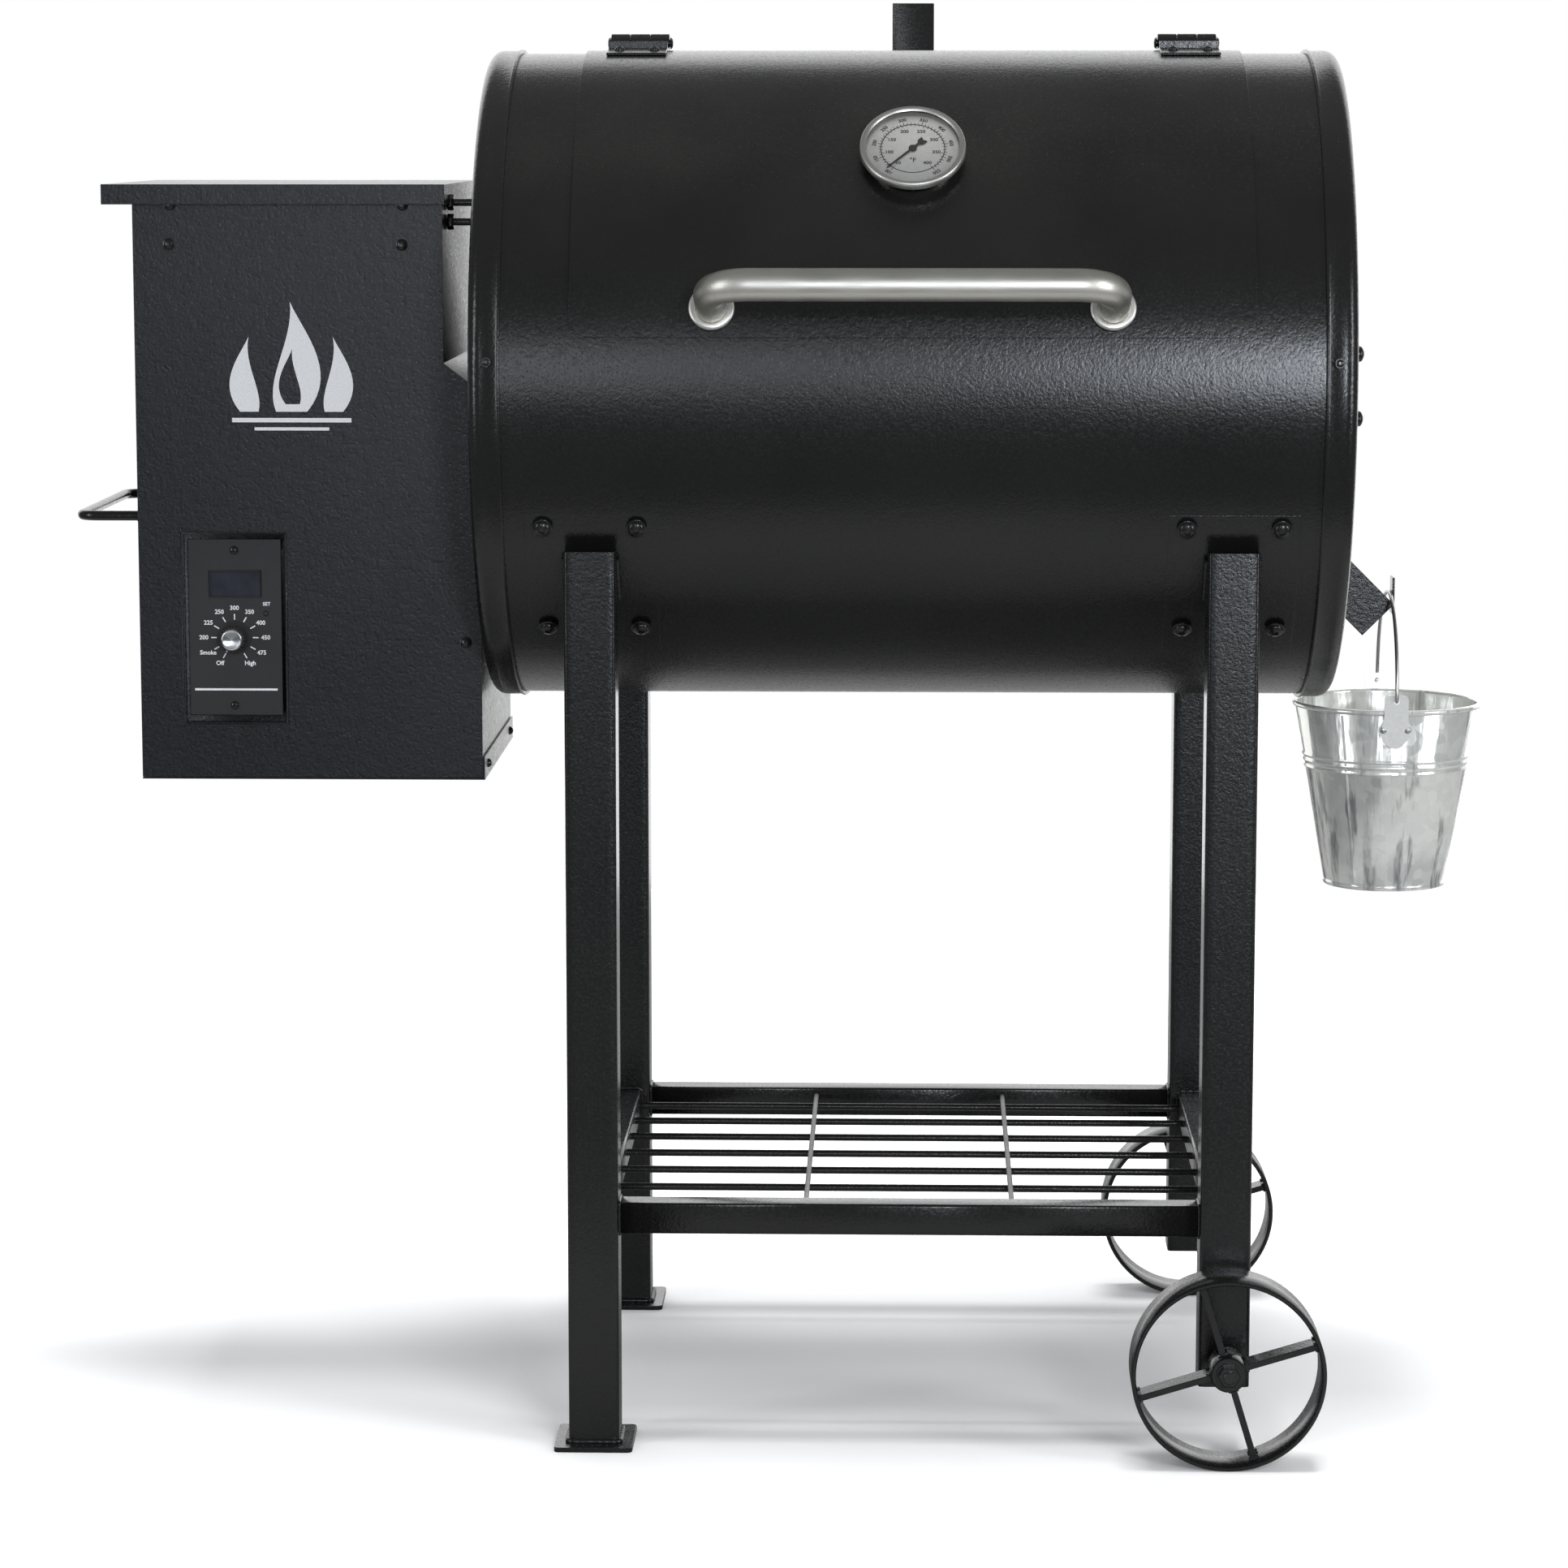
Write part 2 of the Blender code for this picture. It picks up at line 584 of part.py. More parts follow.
def bucket_bail():
    """The wire handle: each end passes in through an ear, the bow rests on the spout's hook."""
    side = [(BAIL_HALF - 0.0085, EAR_Z), (BAIL_HALF - 0.001, EAR_Z), (BAIL_HALF + 0.0008, EAR_Z + 0.0025)]
    top = BAIL_TOP - EAR_Z - 0.004
    bow = [(BAIL_HALF * cos(radians(a)), EAR_Z + 0.004 + top * sin(radians(a))) for a in range(15, 90, 15)]
    half = side + bow
    path = half + [(0, BAIL_TOP)] + [(-y, z) for y, z in reversed(half)]
    return wire("bucket_bail", [(BAIL_X, y, z) for y, z in path], BAIL_R, ZINC)


# ---- hopper -------------------------------------------------------------------------------------
def hopper_outline(inset, low, high):
    left, right, side = HOPPER_LEFT + inset, HOPPER_RIGHT - inset, HOPPER_SIDE - inset
    return [(left, low), (side, low), (side, STEP_LOW - inset / 2), (right, STEP_HIGH - inset / 2),
            (right, high), (left, high)]


def hopper_body():
    middle = (HOPPER_FRONT + HOPPER_BACK) / 2
    depth = HOPPER_BACK - HOPPER_FRONT
    body = plate("hopper_body", [hopper_outline(0, HOPPER_LOW, HOPPER_TOP)], middle, depth, "Y", HOPPER_COAT)
    inner = plate("hopper_hollow", [hopper_outline(THIN, HOPPER_LOW - 0.01, HOPPER_TOP + 0.01)],
                  middle, depth - 2 * THIN, "Y")
    face = box("panel_cutout", (TRAY[0][0], HOPPER_FRONT - 0.01, TRAY[0][1]),
               (TRAY[1][0], HOPPER_FRONT + 0.01, TRAY[1][1]))
    port = bar("auger_port", (-0.36, 0, AUGER_Z), (-0.33, 0, AUGER_Z), AUGER_R + 0.001)
    entry = bar("cord_hole", (-0.57, 0.15, 0.560), (-0.57, 0.18, 0.560), 0.0083)
    return cut(body, inner, face, port, entry)


def hopper_bin():
    """The folded funnel that feeds the auger: straight sides above, sloping to the outlet below."""
    left, right = HOPPER_LEFT + THIN + 0.001, HOPPER_RIGHT - THIN - 0.001
    front, back = HOPPER_FRONT + THIN + 0.001, HOPPER_BACK - THIN - 0.001
    mouth = ((left, front), (right, back))
    outlet = ((-0.560, -0.018), (-0.510, 0.018))
    levels = ((0.975, mouth), (0.860, mouth), (0.690, outlet))
    shape = bmesh.new()
    rings = []
    for z, (low, high) in levels:
        rings.append([shape.verts.new((x, y, z)) for x, y in rectangle(low, high)])
    for upper, lower in zip(rings, rings[1:]):
        for i in range(4):
            j = (i + 1) % 4
            shape.faces.new((lower[i], lower[j], upper[j], upper[i]))
    return skin(add("hopper_bin", mesh_of("hopper_bin", shape), BARE_STEEL), 0.001, -1)


def hopper_lid():
    (x0, y0, z0), (x1, y1, z1) = LID
    lid = box("hopper_lid", (x0, y0, z0), (x1, y1, z1), HOPPER_COAT)
    under = box("lid_under", (x0 + THIN, y0 + THIN, z0 - 0.01), (x1 - THIN, y1 + 0.01, z1 - THIN))
    knuckles = [
        turned("lid_knuckle", rectangle((0.0, -0.04), (0.0045, 0.04)), (x, *LID_AXIS), (1, 0, 0), HOPPER_COAT, 16)
        for x in (-0.590, -0.420)
    ]
    bore = bar("lid_bore", (-0.66, *LID_AXIS), (-0.34, *LID_AXIS), 0.0024)
    notch = box("lid_notch", (-0.5485, 0.1665, 0.98), (-0.4615, 0.18, 1.0))
    return cut(join(cut(lid, under), *knuckles), bore, notch)


def lid_hinge():
    """The fixed leaf on the hopper's back, with its knuckle and the pin."""
    y, z = LID_AXIS
    leaf = box("hopper_lid_hinge", (-0.5475, HOPPER_BACK + GAP, 0.960), (-0.4625, HOPPER_BACK + 0.0018, 0.985),
               HOPPER_COAT)
    web = box("hinge_web", (-0.5465, HOPPER_BACK + 0.0006, 0.9828), (-0.4635, y, 0.9846))
    middle = bar("hinge_middle", (-0.5475, y, z), (-0.4625, y, z), 0.0045, sides=16)
    pin = bar("hinge_pin", (-0.632, y, z), (-0.378, y, z), 0.0020, sides=12)
    return join(leaf, web, middle, pin)


def hopper_pan():
    lip = HOPPER_SIDE + GAP
    floor = HOPPER_LOW - GAP
    low = floor - THIN
    outline = [(HOPPER_LEFT, low), (lip + THIN, low), (lip + THIN, low + 0.0185), (lip, low + 0.0185),
               (lip, floor), (HOPPER_LEFT, floor)]
    middle = (HOPPER_FRONT + HOPPER_BACK) / 2
    return plate("hopper_pan", [outline], middle, HOPPER_BACK - HOPPER_FRONT, "Y", HOPPER_COAT)


def lift_handle():
    wall = HOPPER_LEFT - GAP
    front, back = LIFT_Y
    bend = 0.014
    near = [(x, y) for x, y in arc((LIFT_X + bend, front + bend), bend, 270, 180, 5)]
    far = [(x, y) for x, y in arc((LIFT_X + bend, back - bend), bend, 180, 90, 5)]
    points = [(wall, front), *near, *far, (wall, back)]
    return wire("lift_handle", [(x, y, LIFT_Z) for x, y in points], 0.004, BLACK_COAT)


def panel_tray():
    (x0, z0), (x1, z1) = TRAY
    low = (x0 + GAP, HOPPER_FRONT, z0 + GAP)
    high = (x1 - GAP, HOPPER_FRONT + 0.0090, z1 - GAP)
    tray = box("panel_tray", low, high, HOPPER_COAT)
    hollow = box("tray_hollow", (low[0] + THIN, low[1] - 0.01, low[2] + THIN),
                 (high[0] - THIN, high[1] - THIN, high[2] - THIN))
    spindle = bar("spindle_hole", (DIAL[0], -0.11, DIAL[1]), (DIAL[0], -0.08, DIAL[1]), 0.0036)
    push = bar("push_hole", (BUTTON[0], -0.11, BUTTON[1]), (BUTTON[0], -0.08, BUTTON[1]), 0.0021)
    return cut(tray, hollow, spindle, push)


def control_panel():
    window = rectangle((-0.567, 0.662), (-0.524, 0.684))
    spindle = arc(DIAL, 0.0036, 0, 330, 11)
    push = arc(BUTTON, 0.0021, 0, 315, 7)
    return plate("control_panel", [rectangle(*PANEL), window, spindle, push], -0.0958, 0.0030, "Y", BLACK_PLASTIC)


def display_window():
    return box("display_window", (-0.5667, -0.0955, 0.6623), (-0.5243, -0.0944, 0.6837), CLEAR)


def control_knob():
    """Skirted knob on its spindle, turning about Y."""
    face = -0.0976
    outline = [(0, 0.0190), (0.0078, 0.0190), (0.0092, 0.0175), (0.0100, 0.0040), (0.0132, 0.0020),
               (0.0132, 0), (0.0033, 0), (0.0033, -0.0125), (0, -0.0125)]
    return turned("control_knob", outline, (DIAL[0], face, DIAL[1]), (0, -1, 0), BLACK_PLASTIC, 32)


def set_button():
    return bar("set_button", (BUTTON[0], -0.0980, BUTTON[1]), (BUTTON[0], -0.0900, BUTTON[1]), 0.0018,
               BLACK_PLASTIC, 12)


def controller():
    return box("controller_box", (-0.580, -0.0840, 0.572), (-0.511, -0.060, 0.703), BLACK_PLASTIC)


def cord_gland():
    outline = [(0.0130, 0.0135), (0.0130, GAP), (0.0080, GAP), (0.0080, -0.006), (0.0045, -0.006), (0.0045, 0.0135)]
    return turned("cord_gland", outline, (-0.57, HOPPER_BACK, 0.560), (0, 1, 0), BLACK_PLASTIC, 24)


# ---- feed, fire and cooking parts ---------------------------------------------------------------
def auger_tube():
    start, end = AUGER_ENDS
    profile = rectangle((AUGER_R - SHEET, 0), (AUGER_R, end - start))
    tube = turned("auger_tube", profile, (start, 0, AUGER_Z), (1, 0, 0), BARE_STEEL, 24)
    inlet = box("auger_inlet", (-0.560, -0.018, AUGER_Z + 0.005), (-0.510, 0.018, AUGER_Z + 0.04))
    return cut(tube, inlet)


def auger_screw():
    """A strip wound on a shaft."""
    start, end = AUGER_ENDS
    turns, pitch = 7, 0.070
    mesh = bpy.data.meshes.new("flight")
    mesh.from_pydata([(0.004, 0, 0), (0.0195, 0, 0)], [(0, 1)], [])
    flight = add("auger_flight", mesh, BARE_STEEL)
    flight.matrix_world = Matrix.Translation((start + 0.012, 0, AUGER_Z)) @ turn_to((1, 0, 0))
    wind = flight.modifiers.new("wind", "SCREW")
    wind.screw_offset = pitch
    wind.iterations = turns
    wind.steps = 10
    wind.render_steps = 10
    wind.use_merge_vertices = False
    skin(flight, 0.0025, 0)
    shaft = bar("auger_screw", (start - 0.010, 0, AUGER_Z), (end - 0.004, 0, AUGER_Z), 0.006, BARE_STEEL, 10)
    return join(shaft, flight)


def auger_motor():
    return box("auger_motor", (-0.6195, -0.032, 0.622), (-0.5825, 0.032, 0.690), ZINC)


def fan_housing():
    frame = box("fan_housing", (-0.480, -0.008, 0.5170), (-0.400, 0.072, 0.5420), BLACK_PLASTIC)
    hole = bar("fan_hole", (-0.44, 0.032, 0.519), (-0.44, 0.032, 0.56), 0.037, sides=32)
    return cut(frame, hole)


def fan_impeller():
    centre = Vector((-0.44, 0.032, 0.530))
    hub = bar("fan_impeller", centre - Vector((0, 0, 0.008)), centre + Vector((0, 0, 0.008)), 0.013, BLACK_PLASTIC)
    blades = []
    for i in range(7):
        blade = box("fan_blade", (0.010, -0.0008, -0.007), (0.034, 0.0008, 0.007))
        turn = Matrix.Rotation(radians(360 / 7 * i), 4, "Z") @ Matrix.Translation((0.022, 0, 0))
        blade.matrix_world = Matrix.Translation(centre) @ turn @ Matrix.Rotation(radians(50), 4, "X")
        blades.append(blade)
    return join(hub, *blades)


def burn_pot():
    low, high, wall = 0.5860, 0.690, 0.0025
    outline = [(0, low), (POT_R, low), (POT_R, high), (POT_R - wall, high), (POT_R - wall, low + wall), (0, low + wall)]
    pot = turned("burn_pot", outline, (0, 0, 0), (0, 0, 1), BARE_STEEL, 32)
    feed = bar("feed_hole", (-0.06, 0, AUGER_Z), (-0.03, 0, AUGER_Z), AUGER_R + 0.001)
    spark = bar("igniter_hole", (-0.06, 0, 0.608), (-0.03, 0, 0.608), 0.0058, sides=16)
    return cut(pot, feed, spark)


def igniter():
    return bar("igniter_rod", (-0.150, 0, 0.608), (-0.036, 0, 0.608), 0.005, ZINC, 16)


def folded(name, fold, thickness, low, high, material):
    """Sheet folded along X: fold is its top line in Y and Z."""
    under = [(y, z - thickness) for y, z in reversed(fold)]
    return plate(name, [fold + under], (low + high) / 2, high - low, "X", material)


def heat_deflector():
    fold = [(-0.130, 0.712), (-0.110, 0.716), (0.0, 0.740), (0.110, 0.716), (0.130, 0.712)]
    return folded("heat_deflector", fold, SHEET, -0.105, 0.105, BARE_STEEL)


def drip_tray():
    """A flat-bottomed tray that slopes down to the right, open over the drain spout."""
    fold = [(-0.200, 0.022), (-0.196, 0.0), (0.196, 0.0), (0.200, 0.022),
            (0.198, 0.022), (0.194, 0.002), (-0.194, 0.002), (-0.198, 0.022)]
    tray = plate("drip_tray", [fold], 0, 0.600, "X", BARE_STEEL)
    tray.matrix_world = Matrix.Translation((0, 0, 0.762)) @ Matrix.Rotation(radians(2), 4, "Y") @ tray.matrix_world
    return tray


def grate_ledge(name, depth):
    inner = -0.2335 if depth < 0 else 0.2335
    outer = depth * 0.2555
    low, high = sorted((inner, outer))
    return box(name, (-0.305, low, GRATE_Z - 0.0045), (0.305, high, GRATE_Z - 0.0025), BARE_STEEL)


def cooking_grate(name, low, high):
    slots = []
    count = 8
    pitch = (high - low - 0.010) / count
    for i in range(count):
        left = low + 0.008 + pitch * i
        for front, back in ((-0.232, -0.004), (0.004, 0.232)):
            slots.append(rectangle((left, front), (left + pitch - 0.006, back)))
    outline = rectangle((low, -0.240), (high, 0.240))
    return plate(name, [outline, *slots], GRATE_Z, 0.004, "Z", GRATE_COAT)


# ---- assembly -----------------------------------------------------------------------------------
def carry(name, place, pieces):
    """An empty on a joint's axis carries the pieces that move with it."""
    axis = bpy.data.objects.new(name, None)
    GRILL.objects.link(axis)
    axis.empty_display_size = 0.03
    axis.location = place
    for piece in pieces:
        piece.parent = axis
        piece.matrix_parent_inverse = Matrix.Translation(Vector(place)).inverted()
    return axis


def build():
    shell = barrel_shell()
    caps = [end_cap("end_cap_left", -1), end_cap("end_cap_right", 1)]
    cut(caps[0], bar("cap_auger_port", (-0.36, 0, AUGER_Z), (-0.32, 0, AUGER_Z), AUGER_R + 0.001))
    cut(caps[1], spout_box("cap_spout_port", SPOUT / 2 + GAP, SPOUT_LENGTH + 0.002))
    drain_spout()
    flue()

    door_pieces = [door(), door_handle(), handle_flange("handle_flange_left", -1),
                   handle_flange("handle_flange_right", 1)]
    for word, side in (("left", -1), ("right", 1)):
        door_pieces.append(hinge_leaf("hinge_leaf_" + word, side * HINGE_X))
        hinge_base("hinge_base_" + word, side * HINGE_X)
    door_pieces += [
        gauge_case(),
        gauge("gauge_dial", [(0, 0.0109), (0.0380, 0.0109), (0.0380, 0.0103), (0, 0.0103)], DIAL_WHITE),
        gauge("gauge_glass", [(0, 0.0128), (0.0382, 0.0128), (0.0382, 0.0122), (0, 0.0122)], CLEAR),
        gauge_stem(),
    ]
    needle = carry("gauge_axis", GAUGE_FOOT + GAUGE_OUT * 0.0115, [gauge_needle()])
    carry("door_axis", (0, HINGE_Y, HINGE_Z), [*door_pieces, needle])

    leg("leg_front_left", -1, -1, 0.0)
    leg("leg_rear_left", -1, 1, 0.0)
    leg("leg_front_right", 1, -1, LEG_END)
    leg("leg_rear_right", 1, 1, LEG_END)
    for word, depth in (("front", -1), ("rear", 1)):
        wheel("wheel_" + word, depth)
        axle_bolt("axle_bolt_" + word, depth)
        half, reach = RAIL / 2, LEG_X - LEG / 2 - GAP
        shelf_rail("shelf_rail_" + word, (-reach, depth * LEG_Y - half, RAIL_TOP - RAIL),
                   (reach, depth * LEG_Y + half, RAIL_TOP), 0)
    for word, side in (("left", -1), ("right", 1)):
        half, reach = RAIL / 2, LEG_Y - LEG / 2 - GAP
        shelf_rail("shelf_rail_" + word, (side * LEG_X - half, -reach, RAIL_TOP - RAIL),
                   (side * LEG_X + half, reach, RAIL_TOP), 1)
    shelf_grid()
    pail = carry("ear_axis", (BAIL_X, 0, EAR_Z), [bucket()])
    carry("hook_axis", (BAIL_X, 0, BAIL_TOP), [bucket_bail(), pail])

    hopper_body()
    hopper_bin()
    carry("lid_axis", (-0.509, *LID_AXIS), [hopper_lid()])
    lid_hinge()
    hopper_pan()
    lift_handle()
    panel_tray()
    control_panel()
    display_window()
    control_knob()
    set_button()
    controller()
    cord_gland()

    auger_tube()
    auger_screw()
    auger_motor()
    fan_housing()
    fan_impeller()
    burn_pot()
    igniter()
    heat_deflector()
    drip_tray()
    grate_ledge("grate_ledge_front", -1)
    grate_ledge("grate_ledge_rear", 1)
    cooking_grate("cooking_grate_left", -0.3050, -0.0010)
    cooking_grate("cooking_grate_right", 0.0010, 0.3050)

    frame = bpy.data.objects.new("grill_frame", None)
    GRILL.objects.link(frame)
    frame.location = (SHIFT_X, 0, 0)
    for piece in [*GRILL.objects, *TOOLS.objects]:
        if piece.parent is None and piece is not frame:
            piece.parent = frame
        if piece.type == "MESH" and piece.name in GRILL.objects:
            smooth(piece)


build()
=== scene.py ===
import json
from math import atan2, cos, pi, radians, sin, sqrt

import bmesh
import bpy
from mathutils import Matrix, Vector


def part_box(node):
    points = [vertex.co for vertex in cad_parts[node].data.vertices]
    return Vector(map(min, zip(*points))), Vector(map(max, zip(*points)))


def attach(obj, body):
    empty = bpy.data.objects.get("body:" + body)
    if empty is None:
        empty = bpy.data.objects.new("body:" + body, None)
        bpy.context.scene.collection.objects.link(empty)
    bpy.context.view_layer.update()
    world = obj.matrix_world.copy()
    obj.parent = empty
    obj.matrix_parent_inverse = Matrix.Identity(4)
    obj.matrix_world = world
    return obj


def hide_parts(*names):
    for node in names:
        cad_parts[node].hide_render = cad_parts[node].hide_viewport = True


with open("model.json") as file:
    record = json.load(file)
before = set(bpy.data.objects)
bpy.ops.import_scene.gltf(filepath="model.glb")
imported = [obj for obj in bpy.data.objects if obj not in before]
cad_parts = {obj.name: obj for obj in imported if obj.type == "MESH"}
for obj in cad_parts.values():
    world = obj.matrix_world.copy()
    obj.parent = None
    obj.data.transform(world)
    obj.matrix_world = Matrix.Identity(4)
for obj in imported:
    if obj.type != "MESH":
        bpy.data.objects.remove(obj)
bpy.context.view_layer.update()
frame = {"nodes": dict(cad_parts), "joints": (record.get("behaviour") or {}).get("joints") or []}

# ==== Studio ======================================================================================
# Staging, not part of the grill: a lit wall behind, panels and strips in front that draw the sheen, and
# a fill and an overhead lamp that don't show in gloss. Floor and backdrop are white to the camera only;
# every other ray meets a dim floor and a faint grey sky.
scene = bpy.context.scene
scene.view_settings.view_transform = "Standard"
shell_low, shell_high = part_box("barrel_shell")
MID = (shell_low.x + shell_high.x) / 2
CAMERA_BACK, CAMERA_HEIGHT = 3.85, 1.042
CAMERA_DIP, CAMERA_TURN = 8.04, 1.56
FLOOR_R, FLOOR_BACK = 1.75, 0.78
WHITE, COOL, PALE = (1, 1, 1), (0.86, 0.91, 1.0), (0.92, 0.95, 1.0)

camera_data = bpy.data.cameras.new("camera")
camera_data.lens = 107.6
camera_data.sensor_width = 36
camera = bpy.data.objects.new("camera", camera_data)
camera.location = (MID, -CAMERA_BACK, CAMERA_HEIGHT)
camera.rotation_euler = (radians(90 - CAMERA_DIP), 0, radians(CAMERA_TURN))
scene.collection.objects.link(camera)
scene.camera = camera


def soft_light(name, place, aim, size, watts, tint, glossy=True):
    """An area lamp, its place and aim measured from the barrel's middle."""
    lamp = bpy.data.lights.new(name, "AREA")
    lamp.shape = "RECTANGLE"
    lamp.size, lamp.size_y = size
    lamp.energy = watts
    lamp.color = tint
    place, aim = [Vector((MID + x, y, z)) for x, y, z in (place, aim)]
    lamp_object = bpy.data.objects.new(name, lamp)
    lamp_object.location = place
    lamp_object.rotation_euler = (aim - place).to_track_quat("-Z", "Y").to_euler()
    lamp_object.visible_camera = False
    lamp_object.visible_glossy = glossy
    scene.collection.objects.link(lamp_object)


soft_light("back_wall", (0, 2.7, 1.3), (0, 0, 1.1), (7.5, 3.4), 115, WHITE)
soft_light("right_panel", (1.04, -5.2, 1.3), (0.3, 0, 0.9), (0.64, 1.5), 72, COOL)
soft_light("left_panel", (-0.82, -5.2, 1.3), (-0.3, 0, 0.9), (0.36, 1.5), 13, COOL)
soft_light("right_strip", (3.1, -2.0, 1.3), (0.3, 0, 0.9), (0.7, 1.9), 42, PALE)
soft_light("left_strip", (-3.1, -2.0, 1.3), (-0.3, 0, 0.9), (0.6, 1.9), 24, PALE)
soft_light("front_fill", (1.6, -4.2, 2.4), (0, 0, 0.7), (1.4, 1.2), 75, WHITE, glossy=False)
soft_light("overhead", (0, 0.05, 3.8), (0, 0.05, 0), (1.7, 1.7), 190, WHITE, glossy=False)


def put(node, sockets):
    """Values or links put on a node's sockets."""
    for socket, value in sockets.items():
        if isinstance(value, bpy.types.NodeSocket):
            node.id_data.links.new(value, node.inputs[socket])
        else:
            node.inputs[socket].default_value = value
    return node


def by_ray(nodes, others, seen, out):
    """One shader for the camera's rays and another for all the rest."""
    path = nodes.new("ShaderNodeLightPath")
    choose = put(nodes.new("ShaderNodeMixShader"),
                 {0: path.outputs["Is Camera Ray"], 1: others.outputs[0], 2: seen.outputs[0]})
    put(out, {"Surface": choose.outputs[0]})


world = bpy.data.worlds.new("studio")
scene.world = world
world.use_nodes = True
sky = world.node_tree.nodes
sky.clear()
faint = put(sky.new("ShaderNodeBackground"), {"Color": (0.95, 0.97, 1.0, 1), "Strength": 0.19})
backdrop = put(sky.new("ShaderNodeBackground"), {"Color": (1, 1, 1, 1)})
by_ray(sky, faint, backdrop, sky.new("ShaderNodeOutputWorld"))

floor_mesh = bpy.data.meshes.new("floor")
floor_shape = bmesh.new()
bmesh.ops.create_circle(floor_shape, cap_ends=True, radius=FLOOR_R, segments=96)
bmesh.ops.translate(floor_shape, verts=floor_shape.verts, vec=(MID, FLOOR_BACK, 0))
floor_shape.to_mesh(floor_mesh)
floor_shape.free()
floor = bpy.data.objects.new("floor", floor_mesh)
scene.collection.objects.link(floor)
floor_finish = bpy.data.materials.new("pale_floor")
floor_finish.use_nodes = True
floor_nodes = floor_finish.node_tree.nodes
pale = put(floor_nodes["Principled BSDF"], {
    "Base Color": (0.93, 0.93, 0.93, 1), "Roughness": 0.9, "Specular IOR Level": 0.0,
    "Emission Color": (1, 1, 1, 1), "Emission Strength": 0.03})
dim = put(floor_nodes.new("ShaderNodeBsdfDiffuse"), {"Color": (0.30, 0.30, 0.30, 1)})
by_ray(floor_nodes, dim, pale, floor_nodes["Material Output"])
floor_mesh.materials.append(floor_finish)


# ==== Barrel shell ================================================================================
# A rolled 2 mm steel cylinder with its seam underneath, cut open under the door and behind for the
# flue. It is coated inside and out with black high-temperature powder, which dries to a fine peel.
AXIS = (shell_low.z + shell_high.z) / 2
SHEET = 0.002
SHELL_R = (shell_high.z - shell_low.z) / 2
SHELL_HALF = (shell_high.x - shell_low.x) / 2
MOUTH_HALF, MOUTH = 0.248, (13.0, 83.0)
PORT_HALF, PORT = 0.0145, (153.0, 164.5)
FACET = 2.5


class Finish:
    """A finish being mixed: its material, its shader, and where, the piece's own metres."""

    def __init__(self, name):
        self.material = bpy.data.materials.new(name)
        self.material.use_nodes = True
        self.shader = self.material.node_tree.nodes["Principled BSDF"]
        self.where = self.add("TexCoord", {}).outputs["Object"]

    def add(self, kind, sockets):
        return put(self.material.node_tree.nodes.new("ShaderNode" + kind), sockets)

    def stretched(self, *scale):
        return self.add("Mapping", {"Vector": self.where, "Scale": scale}).outputs["Vector"]

    def speckle(self, scale, detail=2.0, rough=0.5, where=None):
        """Noise, in the piece's own metres or in stretched ones."""
        noise = self.add("TexNoise", {"Vector": where or self.where, "Scale": scale, "Detail": detail,
                                      "Roughness": rough})
        return noise.outputs["Fac"]

    def spread(self, value, low, high, bottom=0.3, top=0.7):
        """A value moved from one range to another."""
        span = self.add("MapRange", {"Value": value, "From Min": bottom, "From Max": top, "To Min": low,
                                     "To Max": high})
        return span.outputs["Result"]

    def between(self, value, first, second, bottom=0.3, top=0.7):
        """A colour between two, by a value."""
        ramp = self.add("ValToRGB", {"Fac": value})
        for stop, place, tone in zip(ramp.color_ramp.elements, (bottom, top), (first, second)):
            stop.position = place
            stop.color = (*tone, 1)
        return ramp.outputs["Color"]

    def grain(self, height, strength, distance, under=None):
        bump = self.add("Bump", {"Height": height, "Strength": strength, "Distance": distance})
        if under:
            put(bump, {"Normal": under})
        return bump.outputs["Normal"]

    def lay(self, sockets):
        """What was mixed, put on the shader."""
        put(self.shader, sockets)
        return self.material


def powder_coat(name, dark, light, rough, peel=420.0, lift=0.6):
    """Powder coat: a fine peel with a hard-edged grain in it, and a cloudy tone."""
    coat = Finish(name)
    fine = coat.speckle(peel, 2.5, 0.6)
    coarse = coat.grain(coat.speckle(peel / 2.6, 1.0), lift, 0.00016)
    return coat.lay({
        "Base Color": coat.between(coat.speckle(7.0, 4.0), dark, light),
        "Roughness": coat.spread(fine, *rough),
        "Normal": coat.grain(fine, lift, 0.00030, coarse),
        "Specular IOR Level": 0.5})


BLACK = powder_coat("black_powder_coat", (0.0045, 0.0045, 0.0042), (0.0085, 0.0085, 0.0078), (0.17, 0.30))


def finish_piece(name, shape, material, body, slot, stands_for=(), crease=35, edge=0.0, steps=2):
    """The mesh made a piece: finish, smooth shading, rounded edges, and its place in the assembly."""
    mesh = bpy.data.meshes.new(name)
    bmesh.ops.recalc_face_normals(shape, faces=shape.faces)
    shape.to_mesh(mesh)
    shape.free()
    mesh.materials.append(material)
    piece = bpy.data.objects.new(name, mesh)
    scene.collection.objects.link(piece)
    mesh.shade_smooth()
    mesh.set_sharp_from_angle(angle=radians(crease))
    if edge:
        bevel = piece.modifiers.new("edges", "BEVEL")
        bevel.width = edge
        bevel.segments = steps
        bevel.limit_method = "ANGLE"
        bevel.angle_limit = radians(40)
        bevel.harden_normals = True
    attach(piece, body)
    if stands_for:
        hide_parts(*stands_for)
    return piece


def coated(name, shape, body="frame", stands_for=(), **edges):
    """A piece in the barrel's black coat."""
    return finish_piece(name, shape, BLACK, body, "black_coat", stands_for, **edges)


def thicken(piece, thickness, offset):
    """Sheet thickness, put under the rounding of the edges."""
    sheet = piece.modifiers.new("sheet", "SOLIDIFY")
    sheet.thickness = thickness
    sheet.offset = offset
    sheet.use_even_offset = True
    while piece.modifiers[0] != sheet:
        bpy.context.view_layer.objects.active = piece
        bpy.ops.object.modifier_move_up(modifier="sheet")


